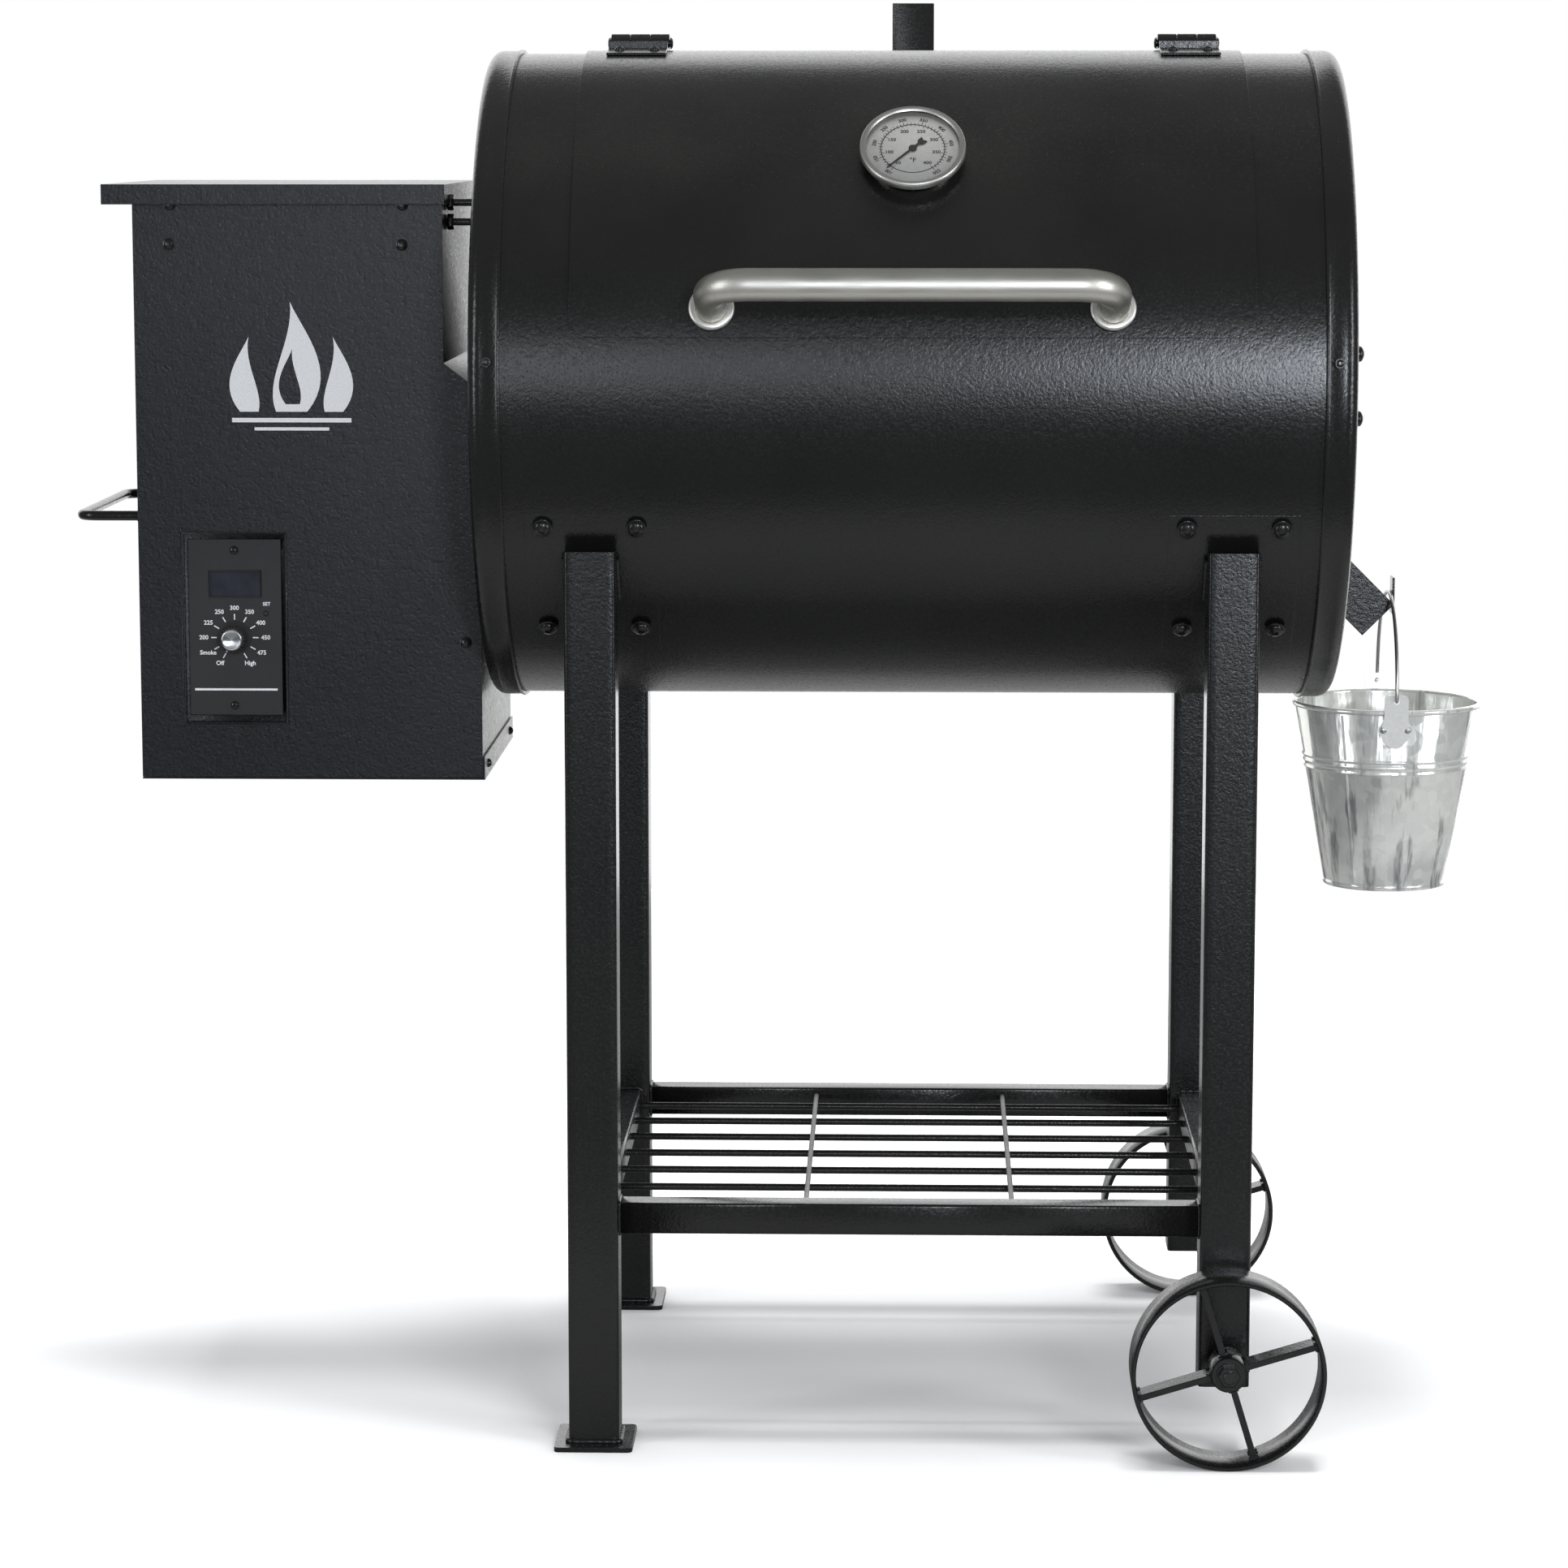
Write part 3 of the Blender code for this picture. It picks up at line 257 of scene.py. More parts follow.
def outward(angle):
    """The way out of the barrel, at an angle above the front horizontal."""
    return (0, -cos(radians(angle)), sin(radians(angle)))


def round_barrel(radius, angle, x):
    """A point on the barrel: angle in degrees above the front horizontal, x from its middle."""
    a = radians(angle)
    return Vector((MID + x, -radius * cos(a), AXIS + radius * sin(a)))


def wrapped(radius, columns, angles, hole=None):
    """A sheet wrapped round the barrel, from x columns and angles, less the faces that hole picks."""
    shape = bmesh.new()
    rows = [[shape.verts.new(round_barrel(radius, a, x)) for x in columns] for a in angles]
    if abs(angles[-1] - angles[0]) >= 360:
        for old in rows.pop():
            shape.verts.remove(old)
        rows.append(rows[0])
    for low, high, a0, a1 in zip(rows, rows[1:], angles, angles[1:]):
        for i in range(len(columns) - 1):
            middle = ((columns[i] + columns[i + 1]) / 2, (a0 + a1) / 2)
            if hole is None or not hole(*middle):
                shape.faces.new((low[i], low[i + 1], high[i + 1], high[i]))
    return shape


def evenly(start, end, step):
    count = max(1, round(abs(end - start) / step))
    return [start + (end - start) * i / count for i in range(count + 1)]


def shell_hole(x, angle):
    mouth = abs(x) < MOUTH_HALF and MOUTH[0] < angle < MOUTH[1]
    port = abs(x) < PORT_HALF and PORT[0] < angle < PORT[1]
    return mouth or port


cuts = (-90, *MOUTH, *PORT, 270)
shell_angles = [a for start, end in zip(cuts, cuts[1:]) for a in evenly(start, end, FACET)[:-1]] + [270]
shell_columns = [-SHELL_HALF, -MOUTH_HALF, -PORT_HALF, PORT_HALF, MOUTH_HALF, SHELL_HALF]
shell_shape = wrapped(SHELL_R, shell_columns, shell_angles, shell_hole)
thicken(coated("shell_sheet", shell_shape, stands_for=["barrel_shell"], edge=0.0006), SHEET, -1)


# ==== End caps ====================================================================================
# Two pressed steel discs with a rolled corner and a rim that slips over the shell. The rim's edge is
# hemmed, and the flat of each disc is pressed in a little to stiffen it.
cap_low, cap_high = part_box("end_cap_right")
CAP_R = (cap_high.z - cap_low.z) / 2
CAP_FACE = cap_high.x - MID
CAP_RIM = cap_low.x - MID
CAP_CORNER = 0.010


def arc(centre, radius, start, end, count):
    turns = [radians(start + (end - start) * i / count) for i in range(count + 1)]
    return [(centre[0] + radius * cos(t), centre[1] + radius * sin(t)) for t in turns]


def lathe(shape, profile, centre, axis, steps=64):
    """A closed profile of (radius, height) turned about an axis; points on it become one vertex."""
    facing = Vector((0, 0, 1)).rotation_difference(Vector(axis)).to_matrix().to_4x4()
    place = Matrix.Translation(centre) @ facing
    turns = [2 * pi * i / steps for i in range(steps)]
    rings = []
    for r, h in profile:
        if r < 1e-7:
            rings.append([shape.verts.new(place @ Vector((0, 0, h)))])
        else:
            rings.append([shape.verts.new(place @ Vector((r * cos(t), r * sin(t), h))) for t in turns])
    for a, b in zip(rings, rings[1:] + rings[:1]):
        if len(a) == 1 and len(b) == 1:
            continue
        for i in range(steps):
            j = (i + 1) % steps
            corners = [a[i % len(a)], a[j % len(a)], b[j % len(b)], b[i % len(b)]]
            shape.faces.new(list(dict.fromkeys(corners)))
    return shape


bend_middle = (CAP_R - CAP_CORNER, CAP_FACE - CAP_CORNER)
cap_profile = [
    (CAP_R + 0.0006, CAP_RIM), (CAP_R + 0.0011, CAP_RIM + 0.0010), (CAP_R + 0.0007, CAP_RIM + 0.0022),
    (CAP_R, CAP_RIM + 0.0030), *arc(bend_middle, CAP_CORNER, 0, 90, 8),
    (0.232, CAP_FACE), (0.228, CAP_FACE - 0.0012), (0.224, CAP_FACE - 0.0016), (0, CAP_FACE - 0.0016),
    (0, CAP_FACE - 0.0036), (0.225, CAP_FACE - 0.0036), (0.232, CAP_FACE - SHEET),
    *arc(bend_middle, CAP_CORNER - SHEET, 90, 0, 8), (CAP_R - SHEET, CAP_RIM)]
SIDES = ((-1, "left"), (1, "right"))
for side, word in SIDES:
    cap = lathe(bmesh.new(), cap_profile, (MID, 0, AXIS), (side, 0, 0), 144)
    coated("cap_" + word, cap, stands_for=["end_cap_" + word], crease=50)


# ==== Door ========================================================================================
# One curved sheet that lies on the shell and covers the mouth, with rounded lower corners. It hangs
# from two hinges behind the crown.
DOOR_HALF = 0.263
DOOR = (9.2, 87.5)
DOOR_CORNER = 0.016
DOOR_R = SHELL_R + 0.0006
door_bend = [DOOR[0] + (1 - cos(pi / 2 * i / 8)) * DOOR_CORNER / DOOR_R * 180 / pi for i in range(9)]
door_angles = door_bend + evenly(door_bend[-1], DOOR[1], 2.0)[1:]
door_shape = wrapped(DOOR_R, evenly(-DOOR_HALF, DOOR_HALF, 0.05), door_angles)
for vert in door_shape.verts:
    rise = (atan2(vert.co.z - AXIS, -vert.co.y) * 180 / pi - DOOR[0]) * pi / 180 * DOOR_R
    drop = max(DOOR_CORNER - rise, 0.0)
    inset = DOOR_CORNER - sqrt(max(DOOR_CORNER ** 2 - drop ** 2, 0.0))
    vert.co.x = MID + (vert.co.x - MID) * (DOOR_HALF - inset) / DOOR_HALF
thicken(coated("door_sheet", door_shape, "door", ["door"], edge=0.0009, steps=3), SHEET, 1)


# ==== Door handle =================================================================================
# A 25 mm stainless tube bent at both ends, brushed along its length. Each leg stands on a round
# stainless flange and is bolted from inside the door.
HANDLE_X = 0.1533
HANDLE_R = 0.0125
HANDLE_REACH = 0.0668
HANDLE_BEND = 0.030
FLANGE_SEAT = 0.0024
HANDLE_FOOT = round_barrel(DOOR_R + SHEET, 14.0, 0)
HANDLE_OUT = Vector(outward(18))


def brushed_steel(name, tone, across, along, rough, streak=0.25, metal=1.0):
    """Brushed steel: streaks finer across than along, the scale given for X, Y and Z."""
    steel = Finish(name)
    lines = steel.speckle(1.0, 4.0, 0.7, steel.stretched(along, across, across))
    return steel.lay({
        "Base Color": steel.between(lines, [c * 0.86 for c in tone], tone),
        "Roughness": steel.spread(steel.speckle(25.0, 3.0), *rough),
        "Normal": steel.grain(lines, streak, 0.0002),
        "Metallic": metal})


STAINLESS = brushed_steel("brushed_stainless", (0.84, 0.82, 0.74), 1400.0, 40.0, (0.36, 0.50))
TURNED_STEEL = brushed_steel("turned_stainless", (0.86, 0.84, 0.79), 900.0, 900.0, (0.34, 0.46), 0.1)
ZINC = brushed_steel("zinc_plate", (0.58, 0.58, 0.56), 500.0, 500.0, (0.25, 0.42), 0.08)


def join_rings(shape, a, b):
    """Faces between two rings of as many points."""
    for i in range(len(a)):
        j = (i + 1) % len(a)
        shape.faces.new((a[i], a[j], b[j], b[i]))


def run_tube(shape, points, radius, sides, closed_ends=True, swell=None):
    """A round bar swept along points; swell gives a radius factor for each point."""
    rings = []
    side = None
    for i, point in enumerate(points):
        ahead = (points[min(i + 1, len(points) - 1)] - points[max(i - 1, 0)]).normalized()
        if side is None:
            side = ahead.orthogonal().normalized()
        side = (side - ahead * side.dot(ahead)).normalized()
        up = ahead.cross(side)
        reach = radius * (swell[i] if swell else 1.0)
        turns = [2 * pi * k / sides for k in range(sides)]
        rings.append([shape.verts.new(point + (side * cos(t) + up * sin(t)) * reach) for t in turns])
    for a, b in zip(rings, rings[1:]):
        join_rings(shape, a, b)
    if closed_ends:
        shape.faces.new(rings[0])
        shape.faces.new(rings[-1])
    return shape


handle_bend = arc((HANDLE_X - HANDLE_BEND, HANDLE_REACH - HANDLE_BEND), HANDLE_BEND, 0, 90, 14)
handle_half = [(HANDLE_X, FLANGE_SEAT), *handle_bend]
handle_path = handle_half + [(-x, h) for x, h in reversed(handle_half)]
handle_points = [HANDLE_FOOT + HANDLE_OUT * h + Vector((x, 0, 0)) for x, h in handle_path]
finish_piece("handle_tube", run_tube(bmesh.new(), handle_points, HANDLE_R, 40), STAINLESS, "door",
             "stainless", ["door_handle"], crease=60)
flange = [(HANDLE_R + 0.0002, FLANGE_SEAT), (0.0178, FLANGE_SEAT), (0.0178, 0.0042), (0.0172, 0.0052),
          (0.0160, 0.0058), (HANDLE_R + 0.0010, 0.0060), (HANDLE_R + 0.0002, 0.0056)]
bolt_head = [(0, -0.0095), (0.005, -0.0093), (0.0072, -0.0070), (0.0076, -0.0050), (0.0076, -0.0042),
             (0.0, -0.0042)]
inner_bolts = bmesh.new()
for side, word in SIDES:
    foot = HANDLE_FOOT + Vector((side * HANDLE_X, 0, 0))
    finish_piece("flange_ring_" + word, lathe(bmesh.new(), flange, foot, HANDLE_OUT, 48), TURNED_STEEL,
                 "door", "stainless", ["handle_flange_" + word], crease=60)
    lathe(inner_bolts, bolt_head, foot, HANDLE_OUT, 24)
finish_piece("handle_bolts", inner_bolts, ZINC, "door", "zinc", crease=50)


# ==== Door hinges =================================================================================
# Two butt hinges with rolled knuckles on one pin, coated with the barrel. The flap is screwed to the
# door, and has an upright lip under its knuckles; the plate is screwed to the shell behind the pin.
HINGE_X = 0.222
PIN = Vector((0, 0.012, 1.1055))
KNUCKLE = 0.016
KNUCKLE_R = 0.0075
HINGE_SCREW = (0.0036, 0.0020, 16)


def block(shape, low, high):
    """A box between two corners, added to a shape."""
    size = [b - a for a, b in zip(low, high)]
    middle = [(a + b) / 2 for a, b in zip(low, high)]
    place = Matrix.Translation(middle) @ Matrix.Diagonal((*size, 1.0))
    return bmesh.ops.create_cube(shape, size=1.0, matrix=place)["verts"]


def dome(shape, place, out, radius=0.0065, height=0.0036, steps=20):
    """A round-headed bolt on its washer, with a small hexagon socket."""
    washer = [(0, 0), (radius * 1.22, 0), (radius * 1.22, 0.0009), (radius * 1.14, 0.0012), (0, 0.0012)]
    lathe(shape, washer, place, out, steps)
    seat = 0.0011
    top = seat + height
    crown = [(cos(radians(a)), sin(radians(a))) for a in (20, 40, 58)]
    head = [(radius, seat), (radius, seat + height * 0.25)]
    head += [(radius * x, seat + height * (0.25 + 0.75 * y)) for x, y in crown]
    head += [(radius * 0.40, top * 0.985), (radius * 0.38, top * 0.70), (0, top * 0.68), (0, seat)]
    lathe(shape, head, place, out, steps)


def knuckle(shape, x, bore, half):
    """One rolled knuckle about the pin."""
    profile = [(bore, -half), (0.0070, -half), (KNUCKLE_R, -half + 0.0005), (KNUCKLE_R, half - 0.0005),
               (0.0070, half), (bore, half)]
    lathe(shape, profile, (x, PIN.y, PIN.z), (1, 0, 0), 32)


for side, word in SIDES:
    x = side * HINGE_X
    leaf_columns = evenly(x - KNUCKLE * 1.5, x + KNUCKLE * 1.5, 0.008)
    moving = wrapped(DOOR_R + SHEET + 0.0003, leaf_columns, evenly(78.5, 87.0, 1.5))
    thicken(coated("hinge_flap_" + word, moving, "door", ["hinge_leaf_" + word], edge=0.0006), 0.0024, 1)
    knuckles = bmesh.new()
    half = KNUCKLE / 2 - 0.0003
    for step in (-1, 1):
        at = MID + x + step * KNUCKLE
        knuckle(knuckles, at, 0.0033, half)
        block(knuckles, (at - half, -0.013, PIN.z - KNUCKLE_R + 0.0008),
              (at + half, PIN.y - 0.002, PIN.z - KNUCKLE_R + 0.0033))
    block(knuckles, (MID + x - 0.0238, -0.0250, 1.0990), (MID + x + 0.0238, -0.0226, 1.1066))
    coated("hinge_knuckles_" + word, knuckles, "door", crease=40)
    fixed = wrapped(SHELL_R + 0.0003, leaf_columns, evenly(93.6, 101, 1.5))
    thicken(coated("hinge_plate_" + word, fixed, "frame", ["hinge_base_" + word], edge=0.0006), 0.0026, 1)
    middle = bmesh.new()
    half = KNUCKLE / 2
    knuckle(middle, MID + x, 0.0029, half)
    block(middle, (MID + x - half + 0.001, PIN.y + 0.001, 1.0985), (MID + x + half - 0.001, 0.024, 1.1010))
    lathe(middle, [(0, -0.0255), (0.0030, -0.0255), (0.0030, 0.0255), (0, 0.0255)],
          (MID + x, PIN.y, PIN.z), (1, 0, 0), 20)
    for end in (-1, 1):
        lathe(middle, [(0, 0), (0.0046, 0), (0.0046, 0.0008), (0.0034, 0.0020), (0, 0.0024)],
              (MID + x + end * 0.0243, PIN.y, PIN.z), (end, 0, 0), 20)
    coated("hinge_pin_" + word, middle, crease=40)
    for name, body, radius, angle in (("hinge_screws_", "door", DOOR_R + SHEET + 0.0026, 81.3),
                                      ("hinge_base_screws_", "frame", SHELL_R + 0.0028, 98.6)):
        screws = bmesh.new()
        for step in (-1, 1):
            dome(screws, round_barrel(radius, angle, x + step * 0.014), outward(angle), *HINGE_SCREW)
        coated(name + word, screws, body)


# ==== Thermometer =================================================================================
# A stainless case with a rolled bezel and a flat glass over a silver dial. The dial has two scales,
# and a black needle on a bimetal stem that goes through the door.
def joint(name):
    return next(j for j in frame["joints"] if j["name"] == name)


def spin(angle, axis="Z"):
    return Matrix.Rotation(radians(angle), 4, axis)


GAUGE_OUT = -Vector(joint("gauge_turn")["axis"])
GAUGE_FOOT = Vector(joint("gauge_turn")["pos_m"]) - GAUGE_OUT * 0.0115
GAUGE_UP = GAUGE_OUT.cross(Vector((1, 0, 0)))
ON_DIAL = Matrix.Translation(GAUGE_FOOT) @ Matrix((
    (1, GAUGE_UP.x, GAUGE_OUT.x, 0), (0, GAUGE_UP.y, GAUGE_OUT.y, 0), (0, GAUGE_UP.z, GAUGE_OUT.z, 0),
    (0, 0, 0, 1)))
DIAL_START, DIAL_SWEEP = 232.5, 285.0
INNER_EDGE, OUTER_EDGE = 0.0243, 0.0250


def gauge_part(name, profile, steps, material, slot, stands_for):
    """A turned part of the thermometer, on the door."""
    shape = lathe(bmesh.new(), profile, GAUGE_FOOT, GAUGE_OUT, steps)
    finish_piece(name, shape, material, "door", slot, [stands_for], crease=60)


bezel = [(0.0362, 0.0139), (0.0372, 0.0150), (0.0388, 0.0155), (0.0400, 0.0152), (0.0408, 0.0143),
         (0.0410, 0.0128), (0.0410, 0.0100), (0.0406, 0.0090), (0.0398, 0.0086), (0.0330, 0.0085),
         (0.0325, 0.0080), (0.0322, 0.0010), (0.0318, 0.0006), (0.0045, 0.0006), (0.0045, 0.0020),
         (0.0305, 0.0020), (0.0310, 0.0095), (0.0385, 0.0100), (0.0385, 0.0130)]
gauge_part("gauge_bezel", bezel, 96, TURNED_STEEL, "stainless", "gauge_case")
DIAL_FACE = brushed_steel("satin_dial", (0.40, 0.40, 0.385), 260.0, 260.0, (0.42, 0.5), 0.04, metal=0.35)
dial_plate = [(0, 0.0103), (0.0378, 0.0103), (0.0380, 0.0106), (0.0378, 0.0109), (0, 0.0109)]
gauge_part("dial_plate", dial_plate, 72, DIAL_FACE, "dial_face", "gauge_dial")


def ink(name, tone, rough=0.5):
    """Printed ink, a little uneven."""
    print_ink = Finish(name)
    patchy = print_ink.speckle(900.0, 3.0)
    return print_ink.lay({"Base Color": print_ink.between(patchy, [c * 0.8 for c in tone], tone),
                          "Roughness": rough})


def figures(shape, words, size, place):
    """Figures set in the plane of a matrix, centred on it, as thin ink."""
    curve = bpy.data.curves.new("figures", "FONT")
    curve.body = words
    curve.size = size
    curve.align_x = "CENTER"
    curve.align_y = "CENTER"
    curve.extrude = 0.00003
    curve.offset = size * 0.025
    curve.resolution_u = 3
    print_curve(shape, curve, place)


def print_curve(shape, curve, place):
    """A filled curve made mesh, placed and added to a shape."""
    shown = bpy.data.objects.new("print", curve)
    scene.collection.objects.link(shown)
    bpy.context.view_layer.update()
    mesh = bpy.data.meshes.new_from_object(shown.evaluated_get(bpy.context.evaluated_depsgraph_get()))
    mesh.transform(place)
    shape.from_mesh(mesh)
    bpy.data.objects.remove(shown)


def stroke(shape, place, start, end, width):
    """A printed line between two radii of a dial."""
    made = block(shape, (start, -width / 2, -0.00003), (end, width / 2, 0.00003))
    bmesh.ops.transform(shape, matrix=place, verts=made)


def scale_angles(steps):
    return [DIAL_START - DIAL_SWEEP * i / steps for i in range(steps + 1)]


def ticks(steps, edge, long, short, width):
    """Marks from an edge of the dial's ring, every fifth one longer."""
    for i, angle in enumerate(scale_angles(steps)):
        end = edge + (short if i % 5 else long)
        stroke(dial_marks, ON_FACE @ spin(angle), min(edge, end), max(edge, end), width)


DIAL_INK = ink("dial_ink", (0.02, 0.02, 0.02), 0.55)
dial_marks = bmesh.new()
ON_FACE = ON_DIAL @ Matrix.Translation((0, 0, 0.01096))
ticks(45, OUTER_EDGE, 0.0026, 0.0015, 0.00050)
for i, angle in enumerate(scale_angles(9)):
    turn = spin(angle) @ Matrix.Translation((0.0300, 0, 0)) @ spin(-90)
    figures(dial_marks, str(100 + 50 * i), 0.0043, ON_FACE @ turn)
ticks(35, INNER_EDGE, -0.0021, -0.0012, 0.00045)
for i, angle in enumerate(scale_angles(7)):
    spot = Matrix.Translation((0.0186 * cos(radians(angle)), 0.0186 * sin(radians(angle)), 0))
    figures(dial_marks, str(50 + 50 * i), 0.0044, ON_FACE @ spot)
ring_line = [(INNER_EDGE, -0.00003), (OUTER_EDGE, -0.00003), (OUTER_EDGE, 0.00003), (INNER_EDGE, 0.00003)]
lathe(dial_marks, ring_line, ON_FACE.translation, GAUGE_OUT, 72)
figures(dial_marks, "°F", 0.0058, ON_FACE @ Matrix.Translation((0.0000, -0.0120, 0)))
finish_piece("dial_marks", dial_marks, DIAL_INK, "door", "dial_face")


def slab(shape, lower, upper):
    """A closed body between two outlines of vertices."""
    shape.faces.new(lower)
    shape.faces.new(upper)
    join_rings(shape, lower, upper)


BLACK_PLASTIC = powder_coat("moulded_black", (0.012, 0.012, 0.013), (0.019, 0.019, 0.020), (0.42, 0.58),
                            900.0, 0.18)
NEEDLE_HEIGHT = 0.0115
needle = bmesh.new()
needle_tip = [(0.0285, 0.0), (0.0245, 0.0013), (0.0230, 0.0005), (0.004, 0.00085), (-0.006, 0.0010),
              (-0.0085, 0.0030), (-0.0128, 0.0030), (-0.0115, 0.0)]
needle_outline = needle_tip + [(x, -y) for x, y in reversed(needle_tip[1:-1])]
slab(needle, *[[needle.verts.new((x, y, z)) for x, y in needle_outline] for z in (-0.0003, 0.0003)])
bmesh.ops.transform(needle, matrix=ON_DIAL @ Matrix.Translation((0, 0, NEEDLE_HEIGHT)) @ spin(225),
                    verts=needle.verts)
lathe(needle, [(0, -0.0004), (0.0032, -0.0004), (0.0032, 0.0004), (0.0024, 0.0006), (0, 0.0006)],
      GAUGE_FOOT + GAUGE_OUT * NEEDLE_HEIGHT, GAUGE_OUT, 28)
finish_piece("needle", needle, DIAL_INK, "needle", "black_plastic", ["gauge_needle"])

clear = Finish("clear_glass")
GLASS = clear.lay({"Roughness": clear.spread(clear.speckle(40.0), 0.02, 0.07), "IOR": 1.5,
                   "Base Color": (0.03, 0.03, 0.03, 1), "Alpha": 0.10})
lens = [(0, 0.0122), (0.0380, 0.0122), (0.0382, 0.0125), (0.0380, 0.0128), (0, 0.0128)]
gauge_part("gauge_lens", lens, 72, GLASS, "clear", "gauge_glass")

stem = bmesh.new()
probe = [(0, 0.0098), (0.0030, 0.0098), (0.0030, -0.0680), (0.0022, -0.0700), (0, -0.0704)]
stem_nut = [(0.0028, -0.0026), (0.0082, -0.0026), (0.0088, -0.0034), (0.0088, -0.0082), (0.0082, -0.0090),
            (0.0028, -0.0090)]
lathe(stem, probe, GAUGE_FOOT, GAUGE_OUT, 24)
lathe(stem, stem_nut, GAUGE_FOOT, GAUGE_OUT, 6)
finish_piece("probe_stem", stem, ZINC, "door", "zinc", ["gauge_stem"], crease=40)


# ==== Flue ========================================================================================
# A folded steel duct on the back of the barrel, open at its top, joined to the shell by a short neck
# with a screwed flap at either side.
def softened(node, material, body, slot, width, steps=2):
    """A CAD piece with its facets merged and its edges rounded as a press or a file leaves them."""
    shape = bmesh.new()
    shape.from_mesh(frame["nodes"][node].data)
    bmesh.ops.remove_doubles(shape, verts=shape.verts, dist=0.00001)
    bmesh.ops.dissolve_limit(shape, angle_limit=radians(0.8), verts=shape.verts, edges=shape.edges)
    finish_piece(node + "_finished", shape, material, body, slot, [node], edge=width, steps=steps)


softened("flue", BLACK, "frame", "black_coat", 0.0006)
FLAP_NEAR, FLAP_FAR = 0.0185, 0.0315
flue_screws = bmesh.new()
for word, x0, x1 in (("left", -FLAP_FAR, -FLAP_NEAR), ("right", FLAP_NEAR, FLAP_FAR)):
    flap = wrapped(SHELL_R + 0.0003, [x0, x1], evenly(150, 167.5, 2.5))
    thicken(coated("flue_flap_" + word, flap, edge=0.0004), 0.0015, 1)
    for angle in PORT:
        dome(flue_screws, round_barrel(SHELL_R + 0.0018, angle, (x0 + x1) / 2), outward(angle),
             *HINGE_SCREW)
coated("flue_screws", flue_screws)


# ==== Legs ========================================================================================
# Four 40 mm square tubes with a curved plate welded to the top of each and bolted to the barrel. The
# left pair has foot plates welded under it, and the right pair is cut short for the axle bolts.
LEG = 0.040
LEG_Y = 0.225
LEG_X = 0.249
LEG_TOP = 0.713
LEG_CORNER = 0.0032
PAD_HALF = 0.051
PAD = (-54.0, -21.4)
PAD_BOLTS = (-23.8, -46.0)
FOOT_X, FOOT_Y, FOOT_CORNER, FOOT_PLATE = 0.027, 0.031, 0.004, 0.004
QUARTER = 1.5708
WHEEL_AT = Vector(joint("front_wheel_roll")["pos_m"])
DEPTHS = ((-1, "front"), (1, "rear"))


def rounded_square(half, corner, side_points):
    """Points round a square tube, closer at the corners."""
    ring = []
    for turn in range(4):
        c, s = cos(pi / 2 * turn), sin(pi / 2 * turn)
        quarter = arc((half - corner, half - corner), corner, 0, 90, 4)
        quarter += [(half - corner - 2 * (half - corner) * i / side_points, half)
                    for i in range(1, side_points)]
        ring += [(x * c - y * s, x * s + y * c) for x, y in quarter]
    return ring


def weld(shape, points, radius=0.0019, pitch=0.0035):
    """A laid weld: a bead that swells at each ripple."""
    laid = []
    for a, b in zip(points, points[1:]):
        count = max(1, round((b - a).length / pitch * 2))
        laid += [a + (b - a) * i / count for i in range(count)]
    laid.append(points[-1])
    ripple = [1.0 + 0.22 * (i % 2) + 0.08 * sin(i * 1.7) for i in range(len(laid))]
    run_tube(shape, laid, radius, 8, True, ripple)


def leg_top(y):
    """The height of a leg's coped end, where it meets the plate."""
    return min(LEG_TOP, AXIS - sqrt((SHELL_R + 0.0028) ** 2 - y ** 2))


leg_bolts = bmesh.new()
for side, side_word in SIDES:
    for depth, depth_word in DEPTHS:
        node = "leg_%s_%s" % (depth_word, side_word)
        x, y = MID + side * LEG_X, depth * LEG_Y
        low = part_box(node)[0].z
        tube = bmesh.new()
        bottom, top = [], []
        for px, py in rounded_square(LEG / 2, LEG_CORNER, 8):
            bottom.append(tube.verts.new((x + px, y + py, low)))
            top.append(tube.verts.new((x + px, y + py, leg_top(y + py))))
        join_rings(tube, bottom, top)
        thicken(coated(node + "_tube", tube, "frame", [node], edge=0.0004), SHEET, -1)

        angles = evenly(*PAD, 2.0)
        if depth > 0:
            angles = [180 - a for a in angles]
        pad_columns = evenly(side * LEG_X - PAD_HALF, side * LEG_X + PAD_HALF, 0.02)
        pad = wrapped(SHELL_R + 0.0003, pad_columns, sorted(angles))
        thicken(coated(node + "_plate", pad, edge=0.0006), 0.0025, 1)

        beads = bmesh.new()
        seat = SHELL_R + 0.0030
        for edge_x in (-1, 1):
            weld_x = x + edge_x * (LEG / 2 + 0.0004)
            weld(beads, [Vector((weld_x, depth * d, AXIS - sqrt(seat ** 2 - d ** 2)))
                         for d in evenly(0.206, 0.2285, 0.004)])
        if side_word == "left":
            ring = [Vector((x + px, y + py, 0.0050))
                    for px, py in rounded_square(LEG / 2 + 0.0006, 0.004, 4)]
            weld(beads, ring + ring[:1], 0.0022)
            foot = bmesh.new()
            outline = []
            for k, (cx, cy) in enumerate(((1, 1), (-1, 1), (-1, -1), (1, -1))):
                outline += [(cx * FOOT_X + FOOT_CORNER * cos(QUARTER * k + a),
                             cy * FOOT_Y + FOOT_CORNER * sin(QUARTER * k + a))
                            for a in (0, 0.52, 1.05, QUARTER)]
            slab(foot, *[[foot.verts.new((x + px, y + py, z)) for px, py in outline]
                         for z in (0.0, FOOT_PLATE)])
            coated("foot_plate_" + depth_word, foot, edge=0.0005)
        coated(node + "_welds", beads, crease=60)
        for angle in PAD_BOLTS:
            turn = angle if depth < 0 else 180 - angle
            for offset in (-0.0365, 0.0365):
                dome(leg_bolts, round_barrel(SHELL_R + 0.0028, turn, side * LEG_X + offset), outward(turn))
